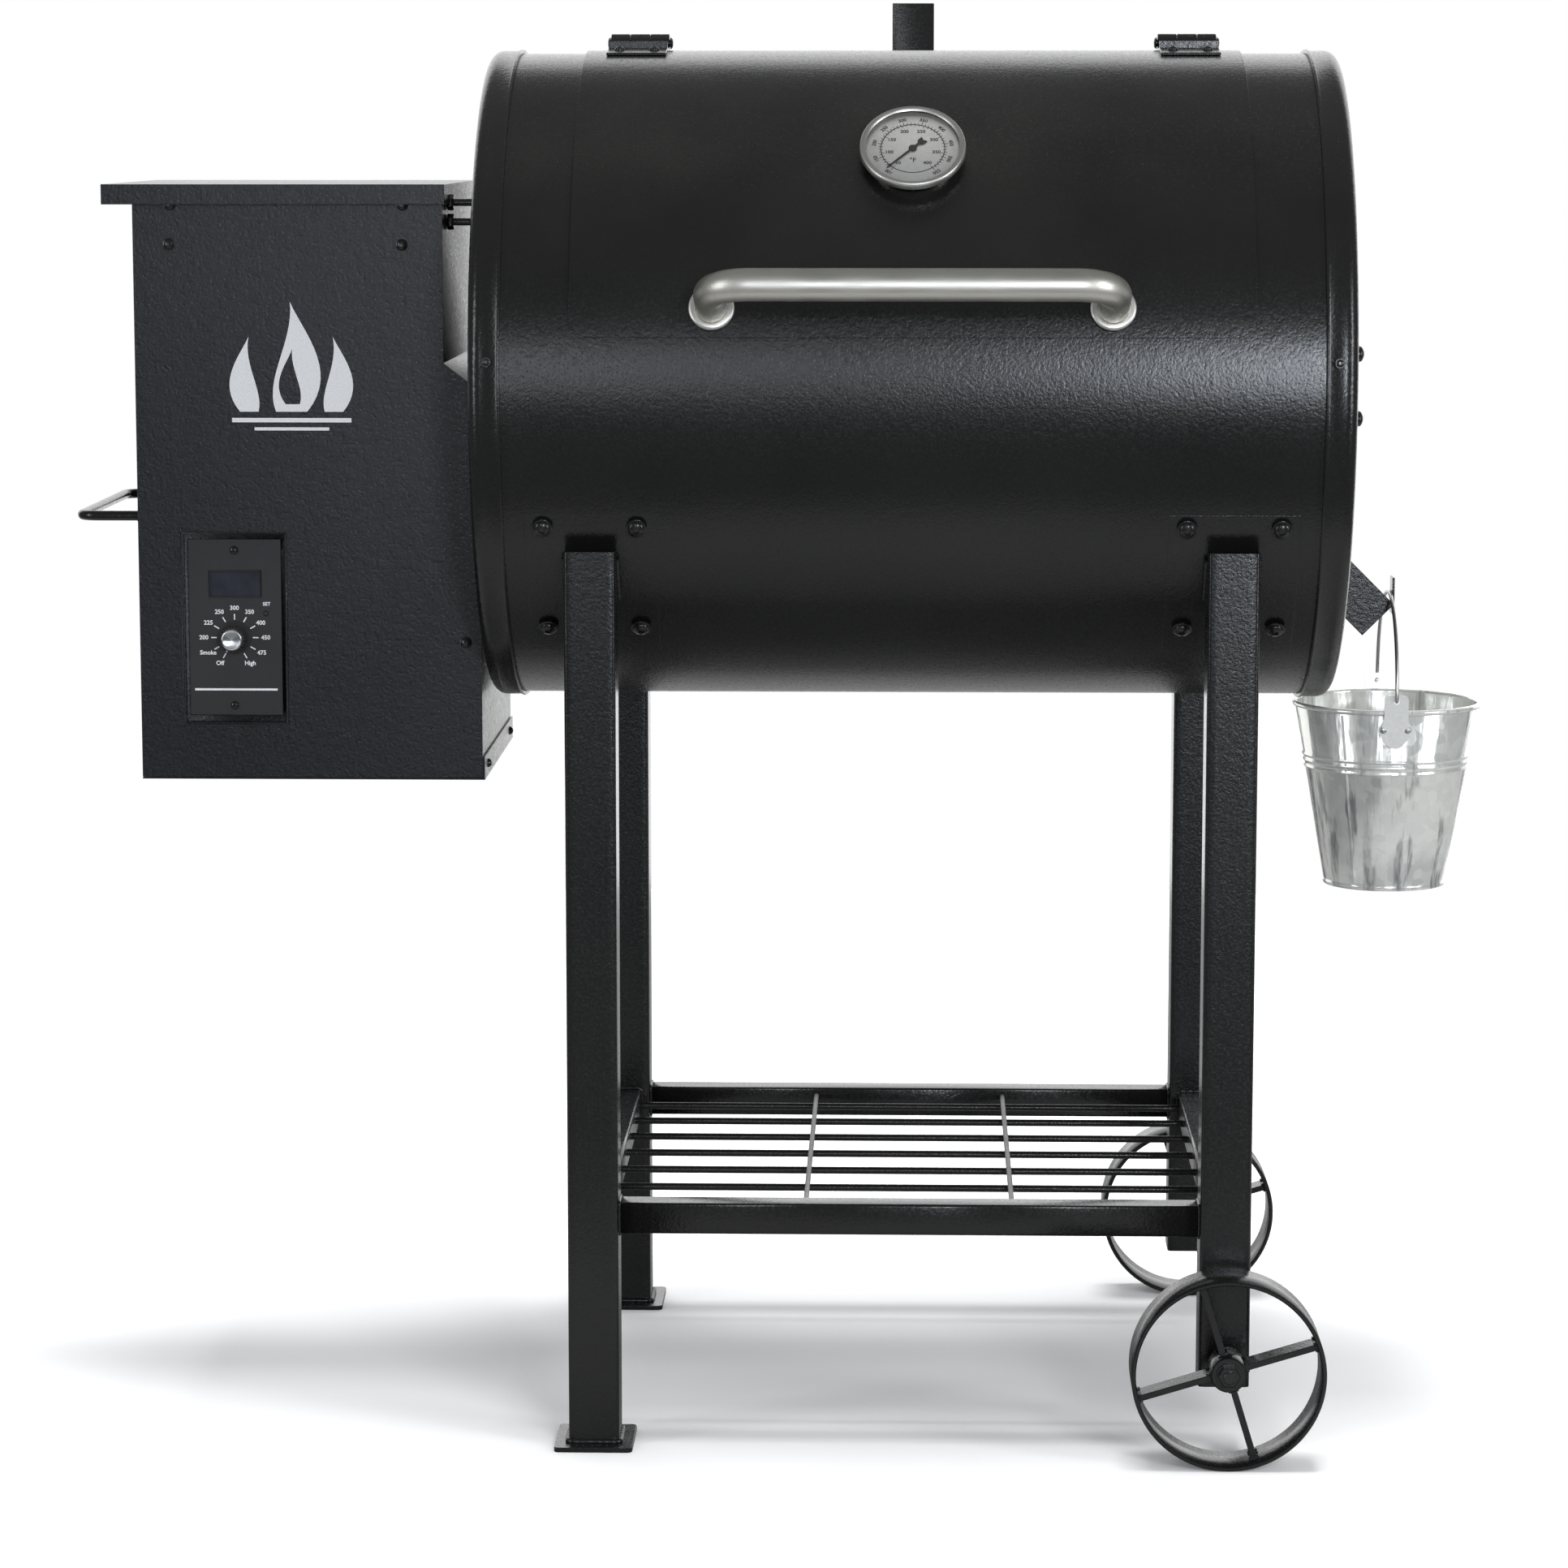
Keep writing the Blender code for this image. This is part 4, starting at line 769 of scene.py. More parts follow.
BOLT_BLACK = powder_coat("black_oxide_bolt", (0.006, 0.006, 0.006), (0.012, 0.012, 0.012), (0.16, 0.30),
                         700.0, 0.12)
finish_piece("leg_bolts", leg_bolts, BOLT_BLACK, "frame", "black_coat", crease=50)


# ==== Wheels ======================================================================================
# Each wheel is a hoop of flat bar with four flat spokes welded to a short hub. It runs on a bolt
# through the end of a right leg, with a collar between them.
WHEEL_R = 0.076
WHEEL_HALF = 0.023
SPOKE_TURN = 17.0
hoop = [(WHEEL_R - 0.0012, -WHEEL_HALF), (WHEEL_R, -WHEEL_HALF + 0.0012), (WHEEL_R, WHEEL_HALF - 0.0012),
        (WHEEL_R - 0.0012, WHEEL_HALF), (WHEEL_R - 0.0029, WHEEL_HALF),
        (WHEEL_R - 0.0036, WHEEL_HALF - 0.0008), (WHEEL_R - 0.0036, -WHEEL_HALF + 0.0008),
        (WHEEL_R - 0.0029, -WHEEL_HALF)]
wheel_hub = [(0.0052, -0.018), (0.0130, -0.018), (0.0140, -0.017), (0.0140, 0.017), (0.0130, 0.018),
             (0.0052, 0.018)]
bolt_parts = (
    ([(0, 0.2345), (0.0050, 0.2345), (0.0050, 0.3045), (0.0042, 0.3052), (0, 0.3052)], 24),
    ([(0.0045, 0.2956), (0.0098, 0.2956), (0.0098, 0.2968), (0.0045, 0.2968)], 32),
    ([(0.0045, 0.2969), (0.0078, 0.2969), (0.0088, 0.2978), (0.0088, 0.3015), (0.0078, 0.3024),
      (0.0045, 0.3024)], 6),
    ([(0.0048, 0.2456), (0.0088, 0.2456), (0.0090, 0.2460), (0.0090, 0.2582), (0.0088, 0.2587),
      (0.0048, 0.2587)], 32),
    ([(0.0048, 0.2360), (0.0080, 0.2360), (0.0080, 0.2425), (0.0048, 0.2425)], 6))
for depth, word in DEPTHS:
    centre = Vector((WHEEL_AT.x, depth * abs(WHEEL_AT.y), WHEEL_AT.z))
    wheel = lathe(bmesh.new(), hoop, centre, (0, 1, 0), 96)
    lathe(wheel, wheel_hub, centre, (0, 1, 0), 40)
    for i in range(4):
        turn = Matrix.Translation(centre) @ spin(-SPOKE_TURN - 90 * i, "Y")
        spoke = block(wheel, (0.0120, -0.0110, -0.0025), (WHEEL_R - 0.0030, 0.0110, 0.0025))
        edges = list(dict.fromkeys(e for v in spoke for e in v.link_edges))
        rounded = bmesh.ops.bevel(wheel, geom=edges, offset=0.0007, segments=2, affect="EDGES")
        spoke = list(dict.fromkeys(v for f in rounded["faces"] for v in f.verts))
        bmesh.ops.transform(wheel, matrix=turn, verts=spoke)
        for face in (-1, 1):
            for reach in (WHEEL_R - 0.0042, 0.0148):
                weld(wheel, [turn @ Vector((reach, face * 0.0088, s * 0.0040)) for s in (-1, -0.3, 0.4, 1)],
                     0.0016)
    coated("wheel_hoop_" + word, wheel, word + "_wheel", ["wheel_" + word], crease=45)
    axle = bmesh.new()
    for profile, steps in bolt_parts:
        lathe(axle, profile, Vector((centre.x, 0, centre.z)), Vector((0, depth, 0)), steps)
    finish_piece("axle_nut_" + word, axle, BOLT_BLACK, "frame", "zinc", ["axle_bolt_" + word], crease=40)


# ==== Shelf =======================================================================================
# Four 25 mm square rails welded between the legs. Seven rods run across the frame, and two thin
# wires lie over them from front to back, their coating rubbed pale by what has stood there.
RAIL = 0.025
RAIL_TOP = 0.197
ROD_Z = 0.185
ROD_PITCH = 0.0633
WIRE_X = 0.082
near_x, far_x = MID - LEG_X, MID + LEG_X
rail_ends = {
    "front": ((near_x + LEG / 2, -LEG_Y), (far_x - LEG / 2, -LEG_Y)),
    "rear": ((near_x + LEG / 2, LEG_Y), (far_x - LEG / 2, LEG_Y)),
    "left": ((near_x, -LEG_Y + LEG / 2), (near_x, LEG_Y - LEG / 2)),
    "right": ((far_x, -LEG_Y + LEG / 2), (far_x, LEG_Y - LEG / 2)),
}
shelf_welds = bmesh.new()
for word, ends in rail_ends.items():
    rail = bmesh.new()
    start, end = [Vector((*place, RAIL_TOP - RAIL / 2)) for place in ends]
    run = (end - start).normalized()
    across = run.cross(Vector((0, 0, 1)))
    rings = []
    for point in (start + run * 0.0003, end - run * 0.0003):
        rings.append([rail.verts.new(point + across * u + Vector((0, 0, v)))
                      for u, v in rounded_square(RAIL / 2, 0.0024, 2)])
        bead = [point + across * u + Vector((0, 0, v))
                for u, v in rounded_square(RAIL / 2 + 0.0004, 0.003, 2)]
        weld(shelf_welds, bead + bead[:1], 0.0013)
    join_rings(rail, *rings)
    thicken(coated("rail_" + word, rail, "frame", ["shelf_rail_" + word]), 0.0015, -1)
coated("shelf_welds", shelf_welds, crease=60)

rods = bmesh.new()
inner, deep = LEG_X - RAIL / 2, LEG_Y - RAIL / 2
for i in range(7):
    line = ROD_PITCH * (i - 3)
    run_tube(rods, [Vector((MID - inner, line, ROD_Z)), Vector((MID + inner, line, ROD_Z))], 0.003, 16)
coated("shelf_rods", rods, "frame", ["shelf_grid"], crease=60)
RUBBED = powder_coat("rubbed_wire", (0.10, 0.10, 0.10), (0.24, 0.24, 0.23), (0.35, 0.6), 500.0, 0.3)
wires = bmesh.new()
height = ROD_Z + 0.003 + 0.0020 - 0.0004
for side in (-1, 1):
    line = [Vector((MID + side * WIRE_X, -deep + 2 * deep * i / 28, height + 0.0002 * cos(i * pi / 2)))
            for i in range(29)]
    run_tube(wires, line, 0.0021, 12)
finish_piece("cross_wires", wires, RUBBED, "frame", "black_coat", crease=60)


# ==== Drain spout =================================================================================
# A square tube welded through the right end cap, sloping down and out. An upright tongue at its tip
# keeps the bucket's bail from sliding off.
softened("drain_spout", BLACK, "frame", "black_coat", 0.0005)
spout_weld = bmesh.new()
spout_x = MID + (CAP_FACE + 0.0002)
spout_ring = [Vector((spout_x, y, z)) for y, z in
              ((-0.0185, 0.6545), (0.0185, 0.6545), (0.0185, 0.7050), (-0.0185, 0.7050), (-0.0185, 0.6545))]
weld(spout_weld, spout_ring, 0.0020)
coated("spout_weld", spout_weld, crease=60)


# ==== Bucket ======================================================================================
# A seamed sheet bucket, hot-dipped in zinc after forming: three rolled beads, a rim rolled over a
# wire, a recessed floor, and an ear riveted on at front and back.
BUCKET_X = joint("bucket_swing")["pos_m"][0]
EAR_Z = 0.578
RIM_Z, BASE_Z = 0.5705, 0.418
RIM_R, BASE_R = 0.076, 0.049
WALL = 0.0009
BEADS = (0.5165, 0.5218, 0.5265)
RIVET_X, RIVET_Z = 0.0098, 0.5545


def bucket_r(z):
    return BASE_R + (RIM_R - BASE_R) * (z - BASE_Z) / (RIM_Z - BASE_Z)


dipped = Finish("galvanised_sheet")
wobble = dipped.add("TexNoise", {"Vector": dipped.where, "Scale": 60.0})
wander = dipped.add("MixRGB", {"Fac": 0.012, "Color1": dipped.where, "Color2": wobble.outputs["Color"]})
crystal = dipped.add("TexVoronoi", {"Vector": wander.outputs["Color"], "Scale": 130.0})
grey = dipped.add("RGBToBW", {"Color": crystal.outputs["Color"]}).outputs["Val"]
# The dark vertical streaks multiplied into the zinc's colour are painted reflections of the surroundings.
reflection_streaks = dipped.speckle(1.0, 3.0, 0.65, dipped.stretched(75.0, 75.0, 3.0))
runs = dipped.speckle(1.0, 3.0, where=dipped.stretched(55.0, 55.0, 9.0))
spangle = dipped.between(grey, (0.74, 0.745, 0.72), (0.86, 0.865, 0.82), 0.1, 0.9)
reflection_darkened = dipped.add("MixRGB", {"Fac": dipped.spread(reflection_streaks, 0.0, 0.75, 0.56, 0.66), "Color1": spangle,
                                "Color2": (0.26, 0.27, 0.28, 1)})
reflection_darkened.blend_type = "MULTIPLY"
GALVANISED = dipped.lay({
    "Base Color": reflection_darkened.outputs["Color"],
    "Roughness": dipped.spread(grey, 0.15, 0.26, 0.1, 0.9),
    "Normal": dipped.grain(runs, 0.35, 0.0035),
    "Metallic": 0.6})

pail = [(0, 0.4205), (BASE_R - 0.0015, 0.4205), (BASE_R - 0.0006, 0.4182), (BASE_R + 0.0006, BASE_Z),
        (BASE_R + 0.0013, 0.4192), (BASE_R + 0.0009, 0.4212), (bucket_r(0.423), 0.423)]
for z in BEADS:
    pail += [(bucket_r(z - 0.0021), z - 0.0021), (bucket_r(z) + 0.0009, z - 0.0009),
             (bucket_r(z) + 0.0013, z), (bucket_r(z) + 0.0009, z + 0.0009)]
pail += [(bucket_r(0.5288), 0.5288), (bucket_r(0.5655), 0.5655)]
pail += arc((RIM_R - 0.0004, 0.5681), 0.0022, -110, 190, 12)
pail += [(bucket_r(0.560) - WALL, 0.560), (bucket_r(0.5288) - WALL, 0.5288)]
for z in reversed(BEADS):
    pail += [(bucket_r(z) + 0.0003, z), (bucket_r(z - 0.0021) - WALL, z - 0.0021)]
pail += [(bucket_r(0.423) - WALL, 0.423), (BASE_R - 0.002, 0.4214), (0, 0.4214)]
bucket = lathe(bmesh.new(), pail, (BUCKET_X, 0, 0), (0, 0, 1), 96)
finish_piece("bucket_wall", bucket, GALVANISED, "pail", "galvanised", ["bucket"], crease=55)

seam_line = [Vector((BUCKET_X - bucket_r(z) * 0.56, -bucket_r(z) * 0.8288, z))
             for z in evenly(0.4235, 0.5645, 0.01)]
seam = run_tube(bmesh.new(), seam_line, 0.0011, 8)
finish_piece("bucket_seam", seam, GALVANISED, "pail", "galvanised", crease=60)


def ear_y(z):
    """How far out the ear stands: on the wall, then over the rolled rim."""
    if z <= 0.556:
        return bucket_r(z)
    return max(bucket_r(z), RIM_R * min(1.0, max(0.0, (z - 0.556) / 0.008)) + 0.0024)


EAR_ZINC = brushed_steel("ear_zinc", (0.86, 0.86, 0.83), 300.0, 300.0, (0.38, 0.5), 0.05, metal=0.5)
ear_half = [(0.0, 0.5385), (0.0036, 0.5390), (0.0066, 0.5415), (0.0122, 0.5495), (0.0134, 0.5530),
            (0.0131, 0.5568), (0.0104, 0.5606), (0.0097, 0.5640), (0.0097, 0.5795), (0.0086, 0.5822),
            (0.0062, 0.5832), (0.0, 0.5832)]
ear_outline = ear_half + [(-x, z) for x, z in reversed(ear_half[1:-1])]
ears, rivets = bmesh.new(), bmesh.new()
for depth in (-1, 1):
    outer, inner_face = [], []
    for x, z in ear_outline:
        y = depth * ear_y(z)
        outer.append(ears.verts.new((BUCKET_X + x, y + depth * 0.0016, z)))
        inner_face.append(ears.verts.new((BUCKET_X + x, y + depth * 0.0006, z)))
    slab(ears, outer, inner_face)
    lathe(ears, [(0, 0), (0.0026, 0), (0.0024, 0.0006), (0, 0.0006)],
          (BUCKET_X, depth * (RIM_R + 0.0040), EAR_Z), (0, depth, 0), 16)
    for x in (-RIVET_X, RIVET_X):
        spot = (BUCKET_X + x, depth * (bucket_r(RIVET_Z) + 0.0014), RIVET_Z)
        lathe(rivets, [(0, 0), (0.0031, 0), (0.0029, 0.0010), (0.0018, 0.0019), (0, 0.0022)], spot,
              (0, depth, 0), 18)
finish_piece("bucket_rivets", rivets, ZINC, "pail", "galvanised", crease=50)
finish_piece("bucket_ears", ears, EAR_ZINC, "pail", "galvanised", crease=50)

BAIL_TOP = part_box("bucket_bail")[1].z - 0.0015
bail_half = [(0.0725, EAR_Z), (0.0800, EAR_Z), (0.0815, EAR_Z + 0.0010), (0.0820, EAR_Z + 0.0030)]
bail_half += [(0.0813 * cos(radians(a)), EAR_Z + 0.004 + (BAIL_TOP - EAR_Z - 0.004) * sin(radians(a)))
              for a in range(8, 90, 6)]
bail_path = bail_half + [(0, BAIL_TOP)] + [(-y, z) for y, z in reversed(bail_half)]
bail = run_tube(bmesh.new(), [Vector((BUCKET_X, y, z)) for y, z in bail_path], 0.0015, 14)
finish_piece("bail_wire", bail, ZINC, "bail", "zinc", ["bucket_bail"], crease=60)


# ==== Hopper ======================================================================================
# A box folded from 1.5 mm steel. Its upper part stands clear of the barrel, and its lower part steps
# out to meet the end cap. It is coated with a coarser, slightly blue black.
HOPPER_COAT = powder_coat("hopper_powder_coat", (0.0032, 0.0035, 0.0048), (0.0066, 0.0070, 0.0094),
                          (0.24, 0.38), 380.0, 0.9)
HOPPER_SCREW, PAN_SCREW = (0.0040, 0.0026, 18), (0.0030, 0.0018, 16)
softened("hopper_body", HOPPER_COAT, "frame", "hopper_coat", 0.0008)
softened("hopper_pan", HOPPER_COAT, "frame", "hopper_coat", 0.0003)
hopper_low, hopper_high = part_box("hopper_body")
FRONT = hopper_low.y
pan_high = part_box("hopper_pan")[1]

screws = bmesh.new()
for x, z in ((-0.5934, 0.9455), (-0.4070, 0.9450), (-0.5920, 0.9768), (-0.4062, 0.9768), (-0.3586, 0.6263)):
    dome(screws, (MID + x, FRONT, z), (0, -1, 0), *HOPPER_SCREW)
for x, z in ((-0.600, 0.940), (-0.400, 0.940), (-0.600, 0.600), (-0.370, 0.600), (-0.370, 0.780)):
    dome(screws, (MID + x, hopper_high.y, z), (0, 1, 0), *HOPPER_SCREW)
for y, z in ((-0.06, 0.940), (0.125, 0.940), (-0.06, 0.560), (0.125, 0.560)):
    dome(screws, (hopper_low.x, y, z), (-1, 0, 0), *HOPPER_SCREW)
for y in (-0.070, 0.135):
    dome(screws, (pan_high.x, y, 0.5245), (1, 0, 0), *PAN_SCREW)
finish_piece("hopper_screws", screws, BOLT_BLACK, "frame", "hopper_coat", crease=50)

stays = bmesh.new()
stay_parts = (
    ([(0, 0), (0.0030, 0), (0.0030, 0.0330), (0, 0.0330)], 16),
    ([(0.0028, 0.0002), (0.0058, 0.0002), (0.0064, 0.0010), (0.0064, 0.0048), (0.0058, 0.0056),
      (0.0028, 0.0056)], 6),
    ([(0.0028, 0.0270), (0.0064, 0.0270), (0.0064, 0.0328), (0.0028, 0.0328)], 6))
for z in (0.9780, 0.9625):
    for profile, steps in stay_parts:
        lathe(stays, profile, (MID - 0.3745, -0.060, z), (1, 0, 0), steps)
finish_piece("hopper_stays", stays, BOLT_BLACK, "frame", "hopper_coat", crease=40)


def tongue(height, width, lean, base):
    """The outline of a flame tongue, joined at its tip."""
    left, right = [], []
    for i in range(15):
        t = i / 14
        swell = width * sin(pi * (0.12 + 0.88 * t) ** 0.75) * (1 - t) ** 0.35
        middle = base + lean * sin(pi * t * 0.9) - lean * 0.35 * t
        left.append((middle - swell, height * t))
        right.append((middle + swell, height * t))
    return left + right[-2::-1]


MARK_INK = ink("mark_ink", (0.72, 0.73, 0.74))
MARK_X, MARK_Z = MID - 0.497, 0.812
flame = bpy.data.curves.new("flame", "CURVE")
flame.dimensions = "2D"
flame.fill_mode = "BOTH"
flame.extrude = 0.00004
for rise, shape in ((0, (0.088, 0.021, 0.008, 0.0)), (0, (0.060, 0.0125, -0.007, -0.034)),
                    (0, (0.060, 0.0125, 0.007, 0.034)), (0.006, (0.044, 0.0095, -0.004, 0.001))):
    outline = tongue(*shape)
    line = flame.splines.new("POLY")
    line.points.add(len(outline) - 1)
    for knot, (x, z) in zip(line.points, outline):
        knot.co = (x, z + rise, 0, 1)
    line.use_cyclic_u = True
mark = bmesh.new()
print_curve(mark, flame, Matrix.Translation((MARK_X, FRONT - 0.00008, MARK_Z)) @ spin(90, "X"))
bmesh.ops.remove_doubles(mark, verts=mark.verts, dist=0.000001)
for half, bottom, top in ((0.048, 0.0085, 0.0050), (0.030, 0.0150, 0.0125)):
    block(mark, (MARK_X - half, FRONT - 0.00012, MARK_Z - bottom),
          (MARK_X + half, FRONT - 0.00004, MARK_Z - top))
finish_piece("flame_mark", mark, MARK_INK, "frame", "hopper_coat")


# ==== Hopper lid ==================================================================================
# A shallow pressed tray with lips on three sides that drops over the hopper's mouth. It turns on a
# pin along the back.
softened("hopper_lid", HOPPER_COAT, "lid", "hopper_coat", 0.0006)
softened("hopper_lid_hinge", HOPPER_COAT, "frame", "hopper_coat", 0.0004)


# ==== Lift handle =================================================================================
# An 8 mm rod bent into a wide U and welded to the hopper's left wall, for tipping the grill on its
# wheels.
LIFT_R, LIFT_BEND = 0.004, 0.014
lift_low, lift_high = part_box("lift_handle")
LIFT_X, LIFT_Z = lift_low.x + LIFT_R, (lift_low.z + lift_high.z) / 2
FRONT_LEG, BACK_LEG = lift_low.y + LIFT_R, lift_high.y - LIFT_R
lift_path = [(hopper_low.x - 0.0003, FRONT_LEG),
             *arc((LIFT_X + LIFT_BEND, FRONT_LEG + LIFT_BEND), LIFT_BEND, 270, 180, 10),
             *arc((LIFT_X + LIFT_BEND, BACK_LEG - LIFT_BEND), LIFT_BEND, 180, 90, 10),
             (hopper_low.x - 0.0003, BACK_LEG)]
lift_rod = run_tube(bmesh.new(), [Vector((x, y, LIFT_Z)) for x, y in lift_path], LIFT_R, 20)
coated("lift_rod", lift_rod, "frame", ["lift_handle"], crease=60)
lift_welds = bmesh.new()
for y in (FRONT_LEG, BACK_LEG):
    turns = [pi / 6 * i for i in range(13)]
    weld(lift_welds, [Vector((hopper_low.x - 0.0010, y + 0.0046 * cos(t), LIFT_Z + 0.0046 * sin(t)))
                      for t in turns], 0.0013, 0.0024)
coated("lift_welds", lift_welds, crease=60)


# ==== Control panel ===============================================================================
# A recessed tray in the hopper's front holds a moulded panel: a display window, a skirted knob with
# a spun metal cap, a small push button and two screws. Its print is white.
softened("panel_tray", HOPPER_COAT, "frame", "hopper_coat", 0.0004)
softened("control_panel", BLACK_PLASTIC, "frame", "black_plastic", 0.0004)
panel_low, panel_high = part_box("control_panel")
FACE = panel_low.y
DIAL = Vector((joint("knob_turn")["pos_m"][0], FACE, joint("knob_turn")["pos_m"][2]))


def edge_line(name, node, y, radius, sides, material, slot):
    """A raised line round the front of a node's box."""
    low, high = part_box(node)
    corners = ((low.x, low.z), (high.x, low.z), (high.x, high.z), (low.x, high.z), (low.x, low.z))
    line = run_tube(bmesh.new(), [Vector((x, y, z)) for x, z in corners], radius, sides, False)
    finish_piece(name, line, material, "frame", slot, crease=60)


edge_line("recess_edge", "panel_tray", FRONT - 0.0002, 0.0009, 10, HOPPER_COAT, "hopper_coat")
film = Finish("display_film")
tint = film.between(film.speckle(90.0), (0.016, 0.018, 0.026), (0.026, 0.029, 0.040))
SCREEN = film.lay({"Base Color": tint, "Roughness": 0.12})
softened("display_window", SCREEN, "frame", "clear", 0.0002)

PANEL_INK = ink("panel_ink", (0.78, 0.79, 0.80))
ON_PANEL = Matrix.Translation((DIAL.x, FACE - 0.00008, DIAL.z)) @ spin(90, "X")
panel_print = bmesh.new()
settings = ("Off", "Smoke", "200", "225", "250", "300", "350", "400", "450", "475", "High")
for i, setting in enumerate(settings):
    angle = radians(240 - 30 * i)
    stroke(panel_print, ON_PANEL @ Matrix.Rotation(angle, 4, "Z"), 0.0146, 0.0192, 0.00095)
    reach = 0.0246 if i in (1, 2, 8, 9) else 0.0240
    spot = Matrix.Translation((reach * 1.02 * cos(angle), reach * sin(angle), 0))
    figures(panel_print, setting, 0.0049, ON_PANEL @ spot)
figures(panel_print, "SET", 0.0040, ON_PANEL @ Matrix.Translation((0.0262, 0.0272, 0)))
block(panel_print, (panel_low.x + 0.004, FACE - 0.00012, 0.5865),
      (panel_high.x - 0.004, FACE - 0.00004, 0.5882))
finish_piece("panel_print", panel_print, PANEL_INK, "frame", "black_plastic")
edge_line("window_edge", "display_window", FACE + 0.0002, 0.0006, 8, BLACK_PLASTIC, "black_plastic")

panel_screws = bmesh.new()
screw_head = [(0, 0.0), (0.0034, 0.0), (0.0034, 0.0006), (0.0028, 0.0014), (0.0010, 0.0018),
              (0.0008, 0.0009), (0, 0.0009)]
for x, z in ((-0.5457, 0.7003), (-0.5468, 0.5745)):
    lathe(panel_screws, screw_head, Vector((MID + x, FACE, z)), (0, -1, 0), 24)
finish_piece("panel_screws", panel_screws, BOLT_BLACK, "frame", "black_plastic", crease=50)

skirt = [(0, -0.0125), (0.0033, -0.0125), (0.0033, 0.0), (0.0128, 0.0), (0.0133, 0.0005), (0.0132, 0.0018),
         (0.0108, 0.0034), (0.0102, 0.0050), (0.0094, 0.0165), (0.0086, 0.0172), (0, 0.0172)]
knob = lathe(bmesh.new(), skirt, DIAL, (0, -1, 0), 48)
for i in range(24):
    rib = block(knob, (0.0092, -0.0158, -0.00045), (0.0106, -0.0045, 0.00045))
    bmesh.ops.transform(knob, matrix=Matrix.Translation(DIAL) @ spin(15 * i, "Y"), verts=rib)
finish_piece("knob_body", knob, BLACK_PLASTIC, "knob", "black_plastic", ["control_knob"], crease=40)

# The cap's colour swings from bright to dark in two lobes round its centre: a painted highlight standing in
# for the conic sheen of spun metal.
spun = Finish("spun_aluminium")
centred = spun.add("Mapping", {"Vector": spun.where, "Location": (-DIAL.x, 0, -DIAL.z)})
across = spun.add("SeparateXYZ", {"Vector": centred.outputs["Vector"]}).outputs
turned = spun.add("Math", {0: across["Z"], 1: across["X"]})
turned.operation = "ARCTAN2"
lobes = spun.add("Math", {0: turned.outputs[0], 1: 2.0})
lobes.operation = "MULTIPLY"
painted_highlight = spun.add("Math", {0: lobes.outputs[0]})
painted_highlight.operation = "COSINE"
SPUN = spun.lay({
    "Base Color": spun.between(painted_highlight.outputs[0], (0.86, 0.87, 0.88), (0.34, 0.35, 0.36), 0.0, 1.0),
    "Metallic": 1.0, "Anisotropic": 0.8, "Roughness": 0.28})
metal_cap = [(0, 0.0171), (0.0084, 0.0171), (0.0086, 0.0180), (0.0081, 0.0187), (0.0074, 0.0189),
             (0.0070, 0.0186), (0, 0.0186)]
finish_piece("knob_cap", lathe(bmesh.new(), metal_cap, DIAL, (0, -1, 0), 48), SPUN, "knob", "stainless",
             crease=50)
pointer = bmesh.new()
block(pointer, (DIAL.x - 0.0006, FACE - 0.0036, DIAL.z + 0.0102),
      (DIAL.x + 0.0006, FACE - 0.0020, DIAL.z + 0.0130))
bmesh.ops.rotate(pointer, cent=DIAL, matrix=Matrix.Rotation(radians(-150), 3, "Y"), verts=pointer.verts)
finish_piece("knob_pointer", pointer, PANEL_INK, "knob", "black_plastic")

button_low, button_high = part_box("set_button")
button_at = ((button_low.x + button_high.x) / 2, FACE, (button_low.z + button_high.z) / 2)
push = [(0, -0.0076), (0.0018, -0.0076), (0.0018, 0.0003), (0.0014, 0.0006), (0.0008, 0.0007), (0, 0.0007)]
finish_piece("push_button", lathe(bmesh.new(), push, button_at, (0, -1, 0), 24), BLACK_PLASTIC, "button",
             "black_plastic", ["set_button"], crease=50)
softened("controller_box", BLACK_PLASTIC, "frame", "black_plastic", 0.0015, 3)


# ==== Cord gland ==================================================================================
# A moulded gland in the hopper's back where the mains lead would come in. No lead is fitted.
gland_low, gland_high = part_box("cord_gland")
gland_at = ((gland_low.x + gland_high.x) / 2, hopper_high.y, (gland_low.z + gland_high.z) / 2)
gland = [(0.0045, 0.0135), (0.0070, 0.0135), (0.0085, 0.0125), (0.0095, 0.0050), (0.0120, 0.0045),
         (0.0130, 0.0035), (0.0130, 0.0003), (0.0080, 0.0003), (0.0080, -0.0060), (0.0045, -0.0060)]
finish_piece("gland", lathe(bmesh.new(), gland, gland_at, (0, 1, 0), 40), BLACK_PLASTIC, "frame",
             "black_plastic", ["cord_gland"], crease=45)


# ==== Pellet bin and auger ========================================================================
# A bare steel funnel feeds pellets to a screw of strip wound on a shaft, turned in a tube by a gear
# motor. The tube carries them through the end cap to the fire.
def dull_steel(name, dark, light, rust):
    """Bare or heat-browned steel: blotches, scratches and a little bloom of rust."""
    steel = Finish(name)
    blotch = steel.speckle(18.0, 5.0, 0.6)
    fine = steel.speckle(260.0, 3.0)
    stain = steel.add("MixRGB", {"Fac": steel.spread(blotch, 0.0, 0.45, 0.58, 0.75),
                                 "Color1": steel.between(blotch, dark, light), "Color2": (*rust, 1)})
    return steel.lay({
        "Base Color": stain.outputs["Color"], "Roughness": steel.spread(fine, 0.35, 0.6),
        "Normal": steel.grain(fine, 0.2, 0.0004), "Metallic": 0.85})


